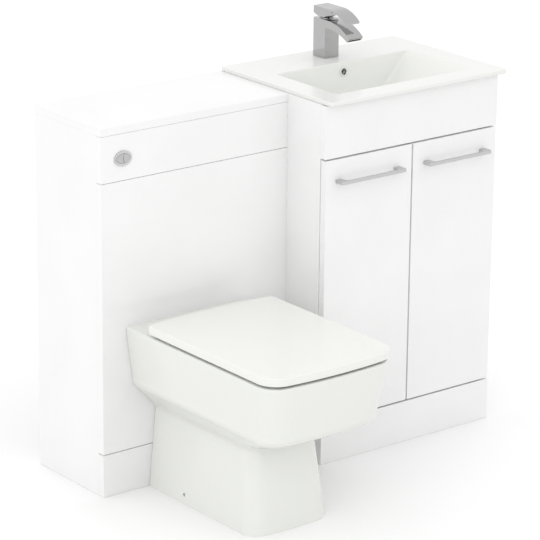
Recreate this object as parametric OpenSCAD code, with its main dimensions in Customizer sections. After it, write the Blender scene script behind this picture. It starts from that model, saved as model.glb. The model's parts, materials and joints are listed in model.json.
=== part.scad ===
// Toilet and basin combination unit: a cabinet that hides the cistern behind
// a back-to-wall toilet, joined to a two-door cabinet under a ceramic basin.
// X runs to the right, Y runs back to the wall and Z runs up from the floor.
// The modules work from the left back corner of the toilet unit, at the floor,
// and placed() moves them so that the origin is under the middle of the whole.

/* [Cabinets] */
// Width of each of the two cabinets
unit_w = 501; // [490:1:510]
// Height of both cabinets
unit_h = 835; // [830:1:840]
// Depth of the toilet unit, front panels included
wc_depth = 250; // [248:1:252]
// Depth of the basin unit, doors included
vanity_depth = 383; // [378:1:386]
// Thickness of the boards
board = 18; // [17:0.5:18]
// Height of the plinths
plinth_h = 98; // [95:1:100]
// Gap that shows between neighbouring fronts
front_gap = 2; // [1.5:0.5:3]
// Height of the band above the doors and of the flush facia's lower edge
band_h = 121; // [118:1:122]

/* [Toilet] */
// Distance of the pan's centre from the left side of the toilet unit
pan_x = 230; // [225:1:250]
// Reach of the seat lid from the wall
pan_reach = 768; // [760:1:775]
// Width of the pan at its rim
pan_w = 340; // [336:1:344]
// Height of the pan's rim
rim_z = 384; // [380:1:386]
// Thickness of the pan's wall
china = 12; // [10:1:13]
// Thickness of the closed lid, its skirt included
lid_h = 19; // [18:0.5:20]

/* [Flush button] */
// Distance of the button's centre from the left side of the toilet unit
button_x = 55.6; // [50:0.2:60]
// Height of the button's centre
button_z = 763; // [760:1:766]
// Width of the two buttons together, a pointed oval
button_w = 39.6; // [38:0.2:42]
// Height of the two buttons together
button_h = 21.6; // [20:0.2:24]
// Travel of both halves of the button
button_travel = 5; // [4:0.5:6]

/* [Basin] */
// Width of the basin
basin_w = 511; // [506:1:514]
// Depth of the basin
basin_d = 399; // [396:1:402]
// Thickness of the basin's rim
basin_rim = 10; // [9:0.5:12]
// Distance of the basin's left edge from the joint between the cabinets
basin_gap = 3.5; // [1:0.5:4]

/* [Tap] */
// Width of the tap's body
tap_w = 41; // [40:0.5:42]
// Depth of the tap's body
tap_d = 42; // [41:0.5:43]
// Height of the tap's body above the basin
tap_h = 91; // [90:0.5:92]

/* [Handles] */
// Length of each door handle
handle_l = 184; // [180:1:190]
// Distance between a handle's two screws
handle_pitch = 160; // [155:1:165]
// Distance that a handle stands out from its door
handle_out = 25; // [23:1:28]

/* [Hidden] */
$fn = 64;

// Cabinet planes
span_x = unit_w + basin_gap + basin_w;
wc_front = -wc_depth;
wc_carcass = wc_front + board;
vanity_front = -vanity_depth;
door_back = vanity_front + board - 1;
vanity_carcass = vanity_front + board;
vanity_x = unit_w;
top_z = unit_h - board;
band_z = unit_h - band_h;
seam = 1.1;
top_seam = 0.3;
top_edge_r = 1;
access_z0 = plinth_h + front_gap;
access_z1 = band_z - seam;
rail_h = 90;
wall_screw_r = 3.5;
wall_screw_z = unit_h - 60;
connector_y = -60;
connector_heights = [150, 700];

// Cistern: a tank that hangs on the rear rail
tank_w = 340;
tank_back = -24;
tank_front = -172;
tank_z0 = 420;
tank_z1 = 715;
tank_wall = 4;
valve_y = -98;
fill_x = pan_x - 110;
flush_z = 320;
flush_pipe_r = 22;
flush_bend_r = 50;

// Pan: its outlet and foot, then the hinges, the seat and the lid
soil_z = 185;
soil_r = 51;
foot_y = -378;
foot_z = 20;
hinge_y = -314;
hinge_z = 394;
lug_r = 8;
lug_w = 10;
lug_step = 14.5;
hinge_pitch = 155;
pin_r = 4;
seat_z0 = rim_z + 4;
seat_z1 = seat_z0 + 13.5;
lid_z0 = rim_z + 6;
lid_z1 = lid_z0 + lid_h;
seat_back = -334;
lid_back = -318;
lid_bow = 6.5;
lid_plate = 5;

// Flush button: arcs of this radius bound the pointed oval
lens_r = (button_w * button_w + button_h * button_h) / (4 * button_h);
split_r = 18;
button_d = 12;
button_back = wc_front - 3.5 + button_d;
pocket_d = button_back - wc_front + button_travel + 1.3;
bezel_w = 44.4;
bezel_h = 34;
housing_w = 43;
housing_h = 30;

// Basin and its waste
basin_x = unit_w + basin_gap + basin_w / 2;
basin_z0 = unit_h;
basin_z1 = unit_h + basin_rim;
bowl_w = 397;
bowl_back = -127;
bowl_front = -346;
bowl_floor = basin_z1 - 102;
waste_y = -235;
overflow_x = -4;
overflow_z = 822.6;
trap_z = 600;

// Tap: axis of the cartridge, and centre of the ball that the lever turns on
tap_x = basin_x;
tap_back = -40;
tap_front = tap_back - tap_d;
tap_y = tap_back - tap_d / 2;
tap_z0 = basin_z1 + 0.6;
tap_z1 = basin_z1 + tap_h;
ball_z = tap_z1 - 13;
ball_r = 22;
spout_y = tap_y - 28;
spout_r = 125;
underside_r = 141;
lever_r = 96;
lever_t = 3.6;

// Doors and handles
door_gap = 2;
door_z0 = plinth_h + 2 * front_gap;
door_z1 = band_z - 2 * front_gap;
door_w = unit_w / 2 - 2 * door_gap;
handle_z = 661;
handle_h = 8;
handle_bar = 6;
cup_inset = 22.5;
cup_r = 17.5;
hinge_heights = [door_z0 + 90, door_z1 - 90];
left_cup = vanity_x + door_gap + cup_inset;
right_cup = vanity_x + unit_w - door_gap - cup_inset;
handle_centres = [vanity_x + 121.6, vanity_x + 374.8];

// ---------------------------------------------------------------- helpers

module placed() translate([-span_x / 2, pan_reach / 2, 0]) children();

// A box from one corner to the opposite one
module block(a, b) translate(a) cube(b - a);

// Rods along X and Y, from a start point
module rod_x(p, l, r) translate(p) rotate([0, 90, 0]) cylinder(h = l, r = r);
module rod_y(p, l, r) translate(p) rotate([-90, 0, 0]) cylinder(h = l, r = r);

// A pipe between two points
module pipe(a, b, r) {
  d = b - a;
  translate(a) rotate([0, acos(d.z / norm(d)), atan2(d.y, d.x)])
    cylinder(h = norm(d), r = r);
}

// A flat shape drawn in depth and height, made wide along X
module profile(x0, w) translate([x0, 0, 0]) rotate([90, 0, 90]) linear_extrude(w) children();

// A rectangle with round corners, from one corner to the opposite one
module round_rect(a, b, r) {
  translate([a.x + r, a.y]) square([b.x - a.x - 2 * r, b.y - a.y]);
  translate([a.x, a.y + r]) square([b.x - a.x, b.y - a.y - 2 * r]);
  for (x = [a.x + r, b.x - r], y = [a.y + r, b.y - r]) translate([x, y]) circle(r);
}

// An arc of n + 1 points
function arc(c, r, a0, a1, n) =
  [for (i = [0:n]) let(a = a0 + (a1 - a0) * i / n) c + r * [cos(a), sin(a)]];

// Outline of half width hw between back and front, with round corners and a
// front edge that bows out by a shallow arc; the back edge may bow out too
function outline(hw, back, front, rb, rf, bow = 6, back_bow = 0) =
  let(rr = (hw - rf + rf * sin(bow)) / sin(bow),
      cy = front + rf * cos(bow) + rr * (1 - cos(bow)),
      br = back_bow > 0 ? (hw - rb + rb * sin(back_bow)) / sin(back_bow) : 0,
      by = back - rb * cos(back_bow) - br * (1 - cos(back_bow)))
  concat(arc([hw - rb, by], rb, 0, 90 - back_bow, 4),
    back_bow > 0 ? arc([0, back - br], br, 90 - back_bow * 0.6, 90 + back_bow * 0.6, 4) : [],
    arc([rb - hw, by], rb, 90 + back_bow, 180, 4),
    arc([rf - hw, cy], rf, 180, 270 - bow, 7),
    arc([0, front + rr], rr, 270 - bow * 0.6, 270 + bow * 0.6, 4),
    arc([hw - rf, cy], rf, 270 + bow, 360, 7));

// A flat outline raised to a height
function lift(shape, z) = [for (p = shape) [p.x, p.y, z]];

// A skin through rings of points, lowest ring first
module loft(rings) {
  n = len(rings[0]);
  m = len(rings);
  polyhedron(
    points = [for (ring = rings) each ring],
    faces = concat([[for (i = [0:n - 1]) i]],
      [for (k = [0:m - 2], i = [0:n - 1]) let(j = (i + 1) % n)
        each [[k * n + i, (k + 1) * n + i, k * n + j],
              [k * n + j, (k + 1) * n + i, (k + 1) * n + j]]],
      [[for (i = [n - 1:-1:0]) (m - 1) * n + i]]));
}

// ---------------------------------------------------------- toilet cabinet

module wc_side(x) block([x, wc_carcass, 0], [x + board, 0, top_z]);

module connector_holes(r)
  for (z = connector_heights) rod_x([unit_w - board - 1, connector_y, z], 2 * board + 2, r);

module wc_side_left() color("white") placed() wc_side(0);

module wc_side_right() color("white") placed() difference() {
  wc_side(unit_w - board);
  connector_holes(2.7);
}

module wc_top_panel() color("white") placed() profile(0, unit_w) {
  translate([wc_front + top_edge_r, top_z]) square([wc_depth - top_edge_r, board]);
  translate([wc_front, top_z + top_edge_r]) square([4, board - 2 * top_edge_r]);
  for (z = [top_z + top_edge_r, unit_h - top_edge_r])
    translate([wc_front + top_edge_r, z]) circle(top_edge_r);
}

module wc_flush_facia() color("white") placed() difference() {
  block([0, wc_front, band_z], [unit_w, wc_carcass, top_z - top_seam]);
  facia_extrude(wc_front - 1, board + 2) oval(housing_w + 0.4, housing_h + 0.4);
}

module wc_access_panel() color("white") placed() difference() {
  block([0, wc_front, access_z0], [unit_w, wc_carcass, access_z1]);
  rod_y([pan_x, wc_front - 1, flush_z], board + 2, 30);
  rod_y([pan_x, wc_front - 1, soil_z], board + 2, 65);
}

module wc_plinth() color("white") placed()
  block([0, wc_front, 0], [unit_w, wc_carcass, plinth_h]);

module wall_screw_holes(xs)
  for (x = xs) rod_y([x, -board - 1, wall_screw_z], board + 2, wall_screw_r);

module wc_rails() color("white") placed() {
  difference() {
    block([board, -board, top_z - rail_h], [unit_w - board, 0, top_z]);
    wall_screw_holes([100, 400]);
  }
  block([board, wc_carcass, top_z - board], [unit_w - board, wc_carcass + 60, top_z]);
  block([board, -board, 20], [unit_w - board, 0, 80]);
}

// ----------------------------------------------------------------- cistern

module cistern_tank() color("gainsboro") placed() {
  x0 = pan_x - tank_w / 2;
  difference() {
    translate([0, 0, tank_z0]) linear_extrude(tank_z1 - tank_z0)
      round_rect([x0, tank_front], [x0 + tank_w, tank_back], 14);
    translate([0, 0, tank_z0 + tank_wall]) linear_extrude(tank_z1)
      round_rect([x0 + tank_wall, tank_front + tank_wall],
        [x0 + tank_w - tank_wall, tank_back - tank_wall], 10);
    translate([pan_x, valve_y, tank_z0 - 1]) cylinder(h = 8, r = 30.3);
    translate([fill_x, valve_y, tank_z0 - 1]) cylinder(h = 8, r = 10.8);
  }
  for (x = [130, 330]) difference() {
    block([x - 20, tank_back, 640], [x + 20, -board, wall_screw_z + 25]);
    rod_y([x, tank_back - 1, wall_screw_z], 8, 3.5);
  }
}

module cistern_lid() color("gainsboro") placed() {
  x0 = pan_x - tank_w / 2;
  translate([0, 0, tank_z1]) linear_extrude(5)
    round_rect([x0 - 3, tank_front - 3], [x0 + tank_w + 3, tank_back], 14);
  translate([0, 0, tank_z1 - 6]) linear_extrude(6) difference() {
    round_rect([x0 + tank_wall + 0.5, tank_front + tank_wall + 0.5],
      [x0 + tank_w - tank_wall - 0.5, tank_back - tank_wall - 0.5], 9);
    round_rect([x0 + tank_wall + 3, tank_front + tank_wall + 3],
      [x0 + tank_w - tank_wall - 3, tank_back - tank_wall - 3], 7);
  }
}

module fill_valve() color("whitesmoke") placed() translate([fill_x, valve_y, 0])
  difference() {
    union() {
      translate([0, 0, 362]) cylinder(h = 70, r = 10.4);
      translate([0, 0, tank_z0 - 12]) cylinder(h = 12, r = 18, $fn = 6);
      translate([0, 0, tank_z0 + tank_wall]) cylinder(h = 8, r = 18);
      translate([0, 0, 430]) cylinder(h = 240, r = 12);
      translate([0, 0, 650]) cylinder(h = 36, r = 20);
      rod_x([0, 0, 668], 34, 6);
    }
    translate([0, 0, 361]) cylinder(h = 60, r = 6);
  }

module fill_float() color("lightsteelblue") placed() translate([fill_x, valve_y, 440])
  difference() {
    cylinder(h = 75, r = 34);
    translate([0, 0, -1]) cylinder(h = 77, r = 12.6);
  }

module flush_valve() color("whitesmoke") placed() translate([pan_x, valve_y, 0]) {
  difference() {
    union() {
      translate([0, 0, 380]) cylinder(h = 44, r = 28);
      translate([0, 0, tank_z0 - 14]) cylinder(h = 14, r = 40, $fn = 8);
      translate([0, 0, tank_z0 + tank_wall]) cylinder(h = 6, r = 44);
      translate([0, 0, 428]) cylinder(h = 44, r = 41);
    }
    translate([0, 0, 379]) cylinder(h = 60, r = 24);
    translate([0, 0, 430]) cylinder(h = 38, r = 37);
    translate([0, 0, 460]) cylinder(h = 20, r = 15.4);
    for (a = [0:60:120]) rotate(a) block([-50, -11, 434], [50, 11, 462]);
  }
  difference() {
    translate([0, 0, 472]) cylinder(h = 180, r = 30);
    translate([0, 0, 471]) cylinder(h = 175, r = 26);
    for (a = [0:90:90]) rotate(a) block([-40, -8, 500], [40, 8, 620]);
  }
  translate([0, 0, 652]) cylinder(h = 12, r = 5);
}

module flush_valve_core() color("steelblue") placed() translate([pan_x, valve_y, 0]) {
  translate([0, 0, 430.4]) cylinder(h = 5, r = 34);
  difference() {
    translate([0, 0, 435]) cylinder(h = 180, r = 15.3);
    translate([0, 0, 440]) cylinder(h = 180, r = 12);
  }
}

module flush_pipe() color("white") placed() translate([pan_x, valve_y, 0]) {
  difference() {
    union() {
      translate([0, 0, 376]) cylinder(h = 28, r = 33);
      translate([0, 0, flush_z + flush_bend_r]) cylinder(h = 8, r = flush_pipe_r);
      translate([0, -flush_bend_r, flush_z + flush_bend_r]) rotate([0, 90, 0])
        rotate_extrude(angle = 90) translate([flush_bend_r, 0]) circle(flush_pipe_r);
      rod_y([0, -186, flush_z], 186 - flush_bend_r, flush_pipe_r);
    }
    translate([0, 0, 380]) cylinder(h = 30, r = 28.2);
    translate([0, 0, flush_z + flush_bend_r]) cylinder(h = 20, r = flush_pipe_r - 2);
    translate([0, -flush_bend_r, flush_z + flush_bend_r]) rotate([0, 90, 0])
      rotate_extrude(angle = 90) translate([flush_bend_r, 0]) circle(flush_pipe_r - 2);
    rod_y([0, -187, flush_z], 187 - flush_bend_r, flush_pipe_r - 2);
  }
}

// ------------------------------------------------------------ flush button

// A flat shape in the plane of the facia, made deep from y0 backwards
module facia_extrude(y0, depth)
  translate([button_x, y0, button_z]) rotate([90, 0, 0]) translate([0, 0, -depth])
    linear_extrude(depth) children();

module oval(w, h) scale([w / h, 1]) circle(d = h);

// The pointed oval of the two buttons, grown by g
module lens(g) intersection() {
  translate([0, lens_r - button_h / 2]) circle(lens_r + g, $fn = 180);
  translate([0, button_h / 2 - lens_r]) circle(lens_r + g, $fn = 180);
}

module flush_button_bezel() color("silver") placed() {
  facia_extrude(wc_front - 3, 3) difference() {
    oval(bezel_w, bezel_h);
    lens(0.3);
  }
  difference() {
    facia_extrude(wc_front, 30) oval(housing_w, housing_h);
    facia_extrude(wc_front - 1, pocket_d + 1) lens(0.3);
    facia_extrude(wc_front, 26) oval(30, 14);
  }
  for (s = [-1, 1]) rod_y([button_x + s * 9, wc_front + 29, button_z], 14, 2.5);
}

module flush_button_clip() color("white") placed()
  facia_extrude(wc_carcass, 8) difference() {
    oval(housing_w + 12, housing_h + 12);
    oval(housing_w + 0.2, housing_h + 0.2);
  }

// The oval is cut in two by a curve that bows to the left
module button_half(large) intersection() {
  lens(0);
  if (large) difference() {
    square(60, center = true);
    translate([split_r, 0]) circle(split_r + 0.3);
  } else translate([split_r, 0]) circle(split_r - 0.3);
}

module flush_button(large) color("silver") placed()
  facia_extrude(button_back - button_d, button_d) button_half(large);

module full_flush_button() flush_button(true);
module half_flush_button() flush_button(false);

// --------------------------------------------------------------------- pan

// Outer rings of the pan, from the floor up: height, half width and front,
// both measured inwards from the rim, and corner radius
pan_rings = [[0, 61, 139, 40], [172, 76, 162, 38], [182, 77, 164, 37],
  [190, 74, 158, 38], [200, 66, 140, 40], [238, 29, 45, 46], [247, 21, 26, 48],
  [257, 17, 19, 50], [270, 15.5, 16, 52], [374, 1, 1.5, 52], [380, 0.5, 1, 52],
  [383, 2, 2.5, 51], [384, 4.5, 5, 50]];

function pan_skin(rings, inset, back) =
  [for (p = rings) lift(outline(pan_w / 2 - p[1] - inset, back,
    p[2] + inset - pan_reach + 1, 4, max(p[3] - inset, 10)), p[0])];

// Rings of the bowl, from its sump up: height, half width, back and front
bowl_rings = [[118, 26, -468, -520], [130, 36, -458, -534], [160, 44, -452, -548],
  [205, 62, -440, -598], [250, 92, -424, -662], [300, 112, -412, -704],
  [345, 120, -405, -718], [366, 120, -404, -720], [374, 114, -410, -714],
  [390, 112, -412, -712]];

function bowl_skin(rings, grow) = [for (p = rings) let(hw = p[1] + grow)
  lift(outline(hw, p[2] + grow, p[3] - grow, hw * 0.6, hw * 0.92, 3), p[0])];

bowl_outer = bowl_skin(bowl_rings, china - 2);

// The trap: from the sump over its weir to the outlet at the back
trap_path = [[0, -486, 150], [0, -432, 202], [0, -372, 214], [0, -318, soil_z],
  [0, -280, soil_z]];

module trap(r) for (i = [0:3]) {
  pipe(trap_path[i], trap_path[i + 1], r);
  if (i < 3) translate(trap_path[i + 1]) sphere(r + 0.7);
}

module pan() color("white") placed() translate([pan_x, 0, 0]) difference() {
  union() {
    difference() {
      loft(pan_skin(pan_rings, 0, wc_front));
      loft(concat(
        pan_skin([[-1, 61, 139, 40]], china, wc_front + 40),
        pan_skin([for (i = [1:8]) pan_rings[i]], china, wc_front + 40),
        pan_skin([[rim_z - china - 2, 3, 3, 50]], china, wc_front + 40)));
    }
    difference() {
      union() {
        loft(concat([lift(bowl_outer[0], bowl_rings[0][0] - 8)],
          [for (i = [1:8]) bowl_outer[i]]));
        trap(soil_r - 4);
        rod_y([0, -308, soil_z], 46, soil_r);
        rod_y([0, -430, flush_z], 168, 34);
      }
      block([-200, -800, rim_z - 4], [200, 0, rim_z + 20]);
    }
  }
  loft(bowl_skin(bowl_rings, 0));
  trap(soil_r - 12);
  rod_y([0, -312, soil_z], 60, soil_r - 8);
  rod_y([0, -425, flush_z], 180, flush_pipe_r - 2);
  rod_y([0, -286, flush_z], 30, 27.5);
  for (s = [-1, 1]) {
    translate([s * hinge_pitch / 2, hinge_y, rim_z - 30]) cylinder(h = 40, r = 7);
    rod_x([s * 100 - 20, foot_y, foot_z], 40, 3);
    rod_x([s * 115 - 15, foot_y, foot_z], 30, 4.2);
  }
}

module flush_cone() color("dimgray") placed() difference() {
  union() {
    rod_y([pan_x, -284, flush_z], 24, 27.3);
    rod_y([pan_x, -261, flush_z], 8, 31);
  }
  rod_y([pan_x, -285, flush_z], 40, flush_pipe_r + 0.1);
}

module pan_connector() color("white") placed() difference() {
  union() {
    rod_y([pan_x, -298, soil_z], 50, 60);
    rod_y([pan_x, -249, soil_z], 190, 53.5);
    rod_y([pan_x, -60, soil_z], 60, 55);
  }
  rod_y([pan_x, -299, soil_z], 40, soil_r + 0.4);
  rod_y([pan_x, -262, soil_z], 263, 51);
}

module floor_brackets() color("gray") placed()
  for (s = [-1, 1]) translate([pan_x, foot_y, 0]) difference() {
    block([s * 78 - 14, -20, 0], [s * 78 + 14, 20, 36]);
    rod_x([s * 78 - 20, 0, foot_z], 40, 2.6);
    translate([s * 78, 0, -1]) cylinder(h = 13, r = 4);
    translate([s * 78, 0, 11]) cylinder(h = 30, r = 8);
  }

module pan_side_screws() color("silver") placed()
  for (s = [-1, 1]) translate([pan_x, foot_y, foot_z]) {
    rod_x([s * 90 - 12, 0, 0], 24, 2.5);
    rod_x([s * 101.25 - 1.25, 0, 0], 2.5, 3.9);
  }

// ------------------------------------------------------------ seat and lid

// A solid through one outline at several heights; a row is a height and an inset
module ring_loft(rows, hw, back, front, rb, rf, back_bow = 0)
  loft([for (p = rows) lift(outline(hw - p[1], back - p[1], front + p[1],
    max(rb - p[1], 1), rf - p[1], back_bow = back_bow), p[0])]);

// A knuckle of the hinge with its web, which runs forward to y
module hinge_lug(x0, y, z0, z1) {
  rod_x([x0, hinge_y, hinge_z], lug_w, lug_r);
  block([x0, y, z0], [x0 + lug_w, hinge_y, z1]);
}

module seat() color("white") placed() translate([pan_x, 0, 0]) difference() {
  union() {
    ring_loft([[seat_z0, 3], [seat_z0 + 3, 0], [seat_z1 - 4.5, 0], [seat_z1 - 1.5, 1.5],
      [seat_z1, 4]], pan_w / 2 - 9, seat_back, -pan_reach + 10, 12, 44);
    for (s = [-1, 1]) hinge_lug(s * (hinge_pitch / 2 - lug_step) - lug_w / 2,
      seat_back - 10, hinge_z - 5, hinge_z + 5);
  }
  loft([for (p = [[seat_z0 - 1, 3], [seat_z0 + 5, 0], [seat_z1 - 6, 0],
      [seat_z1 - 2, 3], [seat_z1 + 1, 9]])
    lift(outline(98 + p[1], -420 + p[1], -696 - p[1], 66, 92, 3), p[0])]);
  rod_x([-200, hinge_y, hinge_z], 400, pin_r + 0.08);
}

module seat_buffers() color("lightgray") placed()
  for (s = [-1, 1], y = [-440, -660])
    block([pan_x + s * 134 - 6, y - 16, rim_z], [pan_x + s * 134 + 6, y + 16, seat_z0]);

module lid() color("white") placed() translate([pan_x, 0, 0]) difference() {
  union() {
    difference() {
      ring_loft([[lid_z0, 2.2], [lid_z0 + 5, 0.8], [lid_z1 - 4, 0], [lid_z1 - 1.2, 0.2],
        [lid_z1 - 0.4, 0.8], [lid_z1, 2]], pan_w / 2, lid_back, -pan_reach, 12, 50,
        lid_bow);
      ring_loft([[lid_z0 - 1, 1.2], [lid_z1 - lid_plate - 4, 0],
        [lid_z1 - lid_plate, 4]], pan_w / 2 - 4.5, lid_back + 20, -pan_reach + 4.5, 4, 46);
    }
    for (s = [-1, 1]) {
      x0 = s * (hinge_pitch / 2 + lug_step) - lug_w / 2;
      hinge_lug(x0, lid_back - 12, hinge_z, hinge_z + lug_r);
      translate([x0, lid_back - 12, hinge_z]) cube([lug_w, 13, lid_z1 - 3 - hinge_z]);
    }
  }
  rod_x([-200, hinge_y, hinge_z], 400, pin_r + 0.08);
}

module lid_buffers() color("lightgray") placed()
  for (s = [-1, 1], y = [-400, -712])
    translate([pan_x + s * 118, y, seat_z1]) cylinder(h = lid_z1 - lid_plate - seat_z1, r = 7);

module seat_hinge_posts() color("silver") placed()
  for (s = [-1, 1]) translate([pan_x + s * hinge_pitch / 2, hinge_y, 0]) {
    difference() {
      union() {
        translate([0, 0, rim_z]) cylinder(h = 1.5, r = 16);
        block([-8.5, -lug_r, rim_z + 1], [8.5, lug_r, hinge_z]);
        rod_x([-8.5, 0, hinge_z], 17, lug_r);
        translate([0, 0, rim_z - 36]) cylinder(h = 38, r = 5);
        translate([0, 0, rim_z - china - 12]) cylinder(h = 9, r = 14);
      }
      rod_x([-20, 0, hinge_z], 40, pin_r + 0.02);
    }
  }

module seat_hinge_pins() color("silver") placed()
  for (s = [-1, 1]) rod_x([pan_x + s * hinge_pitch / 2 - 20, hinge_y, hinge_z], 40, pin_r);

// --------------------------------------------------------- basin cabinet

module vanity_side(x) block([x, vanity_carcass, 0], [x + board, 0, unit_h]);

module vanity_side_left() color("white") placed() difference() {
  vanity_side(vanity_x);
  connector_holes(2.7);
}

module vanity_side_right() color("white") placed() vanity_side(vanity_x + unit_w - board);

module vanity_base() color("white") placed()
  block([vanity_x + board, vanity_carcass, plinth_h],
    [vanity_x + unit_w - board, 0, plinth_h + board]);

module vanity_facia() color("white") placed()
  block([vanity_x, vanity_front, band_z], [vanity_x + unit_w, vanity_carcass, unit_h - 1]);

module vanity_plinth() color("white") placed()
  block([vanity_x, vanity_front, 0], [vanity_x + unit_w, vanity_carcass, plinth_h]);

module vanity_rails() color("white") placed() {
  x0 = vanity_x + board;
  x1 = vanity_x + unit_w - board;
  difference() {
    block([x0, -board, unit_h - rail_h], [x1, 0, unit_h]);
    wall_screw_holes([vanity_x + 100, vanity_x + 400]);
  }
  block([x0, -board, plinth_h + board], [x1, 0, plinth_h + board + 60]);
}

module unit_connectors() color("silver") placed()
  for (z = connector_heights) {
    rod_x([unit_w - board - 1, connector_y, z], 2 * board + 2, 2.5);
    rod_x([unit_w - board - 2, connector_y, z], 2, 7);
    rod_x([unit_w + board, connector_y, z], 2, 7);
  }

module door(x0, cup_x, handle_x) difference() {
  block([x0, vanity_front, door_z0], [x0 + door_w, door_back, door_z1]);
  for (z = hinge_heights) rod_y([cup_x, door_back - 12.5, z], 20, cup_r + 0.1);
  for (s = [-1, 1])
    rod_y([handle_x + s * handle_pitch / 2, vanity_front - 1, handle_z], board + 2, 2.3);
}

module door_left() color("white") placed()
  door(vanity_x + door_gap, left_cup, handle_centres[0]);

module door_right() color("white") placed()
  door(vanity_x + unit_w - door_gap - door_w, right_cup, handle_centres[1]);

module door_buffers() color("lightgray") placed()
  for (s = [-1, 1])
    rod_y([vanity_x + unit_w / 2 + s * 9, vanity_carcass - 0.9, plinth_h + 10], 0.9, 3.5);

// A bow handle: a thin bar on two feet that flare into it
module handle(x) translate([x, 0, handle_z - handle_h / 2]) difference() {
  linear_extrude(handle_h) difference() {
    union() {
      round_rect([-handle_l / 2, vanity_front - handle_out],
        [handle_l / 2, vanity_front - 8], 3);
      translate([-handle_l / 2, vanity_front - 16]) square([handle_l, 16]);
    }
    round_rect([17 - handle_l / 2, vanity_front - handle_out + handle_bar],
      [handle_l / 2 - 17, vanity_front + 20], 9);
  }
  for (s = [-1, 1])
    rod_y([s * handle_pitch / 2, vanity_front - 14, handle_h / 2], 15, 2);
}

module handle_left() color("silver") placed() handle(handle_centres[0]);
module handle_right() color("silver") placed() handle(handle_centres[1]);

module handle_screws(x) for (s = [-1, 1]) {
  rod_y([x + s * handle_pitch / 2, vanity_front - 12, handle_z], board + 11, 1.95);
  rod_y([x + s * handle_pitch / 2, door_back, handle_z], 2, 4);
}

module handle_screws_left() color("silver") placed() handle_screws(handle_centres[0]);
module handle_screws_right() color("silver") placed() handle_screws(handle_centres[1]);

// Cup of a concealed hinge with its folded link; s is the way to the door's middle
module hinge_cup(x, z, s) translate([x, door_back, z]) {
  difference() {
    rod_y([0, -12, 0], 12, cup_r);
    rod_y([0, -10.5, 0], 12, cup_r - 2);
  }
  difference() {
    translate([s * 9.5, 0, 0]) block([-7, 0, -28], [7, 1, 28]);
    rod_y([0, -1, 0], 4, cup_r - 2);
  }
  for (k = [-1, 1]) rod_y([s * 9.5, 0, k * 22.5], 1.6, 3.5);
  rod_y([s * 4, -11, 0], 0.6, 6);
  block([s * 4 - 5, -11, -6], [s * 4 + 5, -1.2, 6]);
}

module hinge_cups_left() color("silver") placed()
  for (z = hinge_heights) hinge_cup(left_cup, z, 1);

module hinge_cups_right() color("silver") placed()
  for (z = hinge_heights) hinge_cup(right_cup, z, -1);

// Mounting plate and arm of a concealed hinge on a cabinet side
module hinge_arm(x, z, s) translate([x, vanity_carcass, z]) {
  block([min(0, s * 3), 22, -26], [max(0, s * 3), 52, 26]);
  block([min(s * 3, s * 14), 16, -8], [max(s * 3, s * 14), 70, 8]);
  block([min(s * 5, s * 17), 0.6, -7], [max(s * 5, s * 17), 18, 7]);
  for (k = [-1, 1]) rod_x([s < 0 ? -4.5 : 2, 37, k * 16], 2.5, 3.5);
}

module hinge_arms() color("silver") placed() for (z = hinge_heights) {
  hinge_arm(vanity_x + board, z, 1);
  hinge_arm(vanity_x + unit_w - board, z, -1);
}

// ------------------------------------------------------------------- basin

// Rings of the bowl, from its floor up: height, and the inset of the sides,
// the back and the front from the opening, and corner radius
bowl_rows = [[bowl_floor, 122, 40, 58, 24], [bowl_floor + 3, 110, 28, 46, 24],
  [bowl_floor + 10, 100, 18, 36, 20], [bowl_floor + 33, 78, 10.8, 24.5, 13],
  [bowl_floor + 51.5, 59.8, 7.8, 17.7, 11], [bowl_floor + 70, 41.5, 5, 11.2, 10],
  [basin_z1 - 16, 24.7, 2.6, 5.6, 9], [basin_z1 - 10, 17.5, 1.7, 3.5, 8],
  [basin_z1 - 5, 10.5, 1, 1.8, 8], [basin_z1 - 2, 4.5, 0.5, 0.8, 8],
  [basin_z1 - 0.6, 1.5, 0.1, 0.2, 8], [basin_z1, 0, -0.5, -0.5, 8]];

function bowl_row(p, grow) = let(hw = bowl_w / 2 - p[1] + grow)
  lift(outline(hw, bowl_back - p[2] + grow, bowl_front + p[3] - grow,
    p[4] + grow, p[4] + grow, 1), p[0]);

module basin() color("white") placed() translate([basin_x, 0, 0]) difference() {
  union() {
    loft([for (p = [[basin_z0, 2], [basin_z0 + 1, 0.6], [basin_z0 + 2.5, 0],
        [basin_z1 - 1.2, 0], [basin_z1 - 0.3, 0.5], [basin_z1, 1.5]])
      lift(outline(basin_w / 2 - p[1], -p[1] * 0.5, -basin_d + p[1], 4, 5, 0.5), p[0])]);
    loft(concat([lift(bowl_row(bowl_rows[1], 7), bowl_floor - 12)],
      [for (i = [2:6]) bowl_row(bowl_rows[i], 10)],
      [lift(bowl_row(bowl_rows[6], 12), basin_z0 + 5)]));
    block([overflow_x - 20, bowl_back - 45, bowl_floor - 12],
      [overflow_x + 20, bowl_back + 24, basin_z0 + 5]);
    block([overflow_x - 20, waste_y, bowl_floor - 12],
      [overflow_x + 20, bowl_back - 30, bowl_floor - 1]);
  }
  loft(concat([for (p = bowl_rows) bowl_row(p, 0)],
    [lift(bowl_row(bowl_rows[11], 0), basin_z1 + 2)]));
  translate([0, waste_y, bowl_floor - 20]) cylinder(h = 40, r = 23);
  translate([0, waste_y, bowl_floor - 1.5]) cylinder(h = 10, r = 32.5);
  translate([0, tap_y, basin_z0 - 1]) cylinder(h = 20, r = 17.5);
  rod_y([overflow_x, bowl_back - 20, overflow_z], 32, 9);
  block([overflow_x - 12, bowl_back + 8, bowl_floor - 8],
    [overflow_x + 12, bowl_back + 18, overflow_z + 8]);
  block([overflow_x - 12, waste_y + 10, bowl_floor - 8],
    [overflow_x + 12, bowl_back + 12, bowl_floor - 4]);
}

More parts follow.
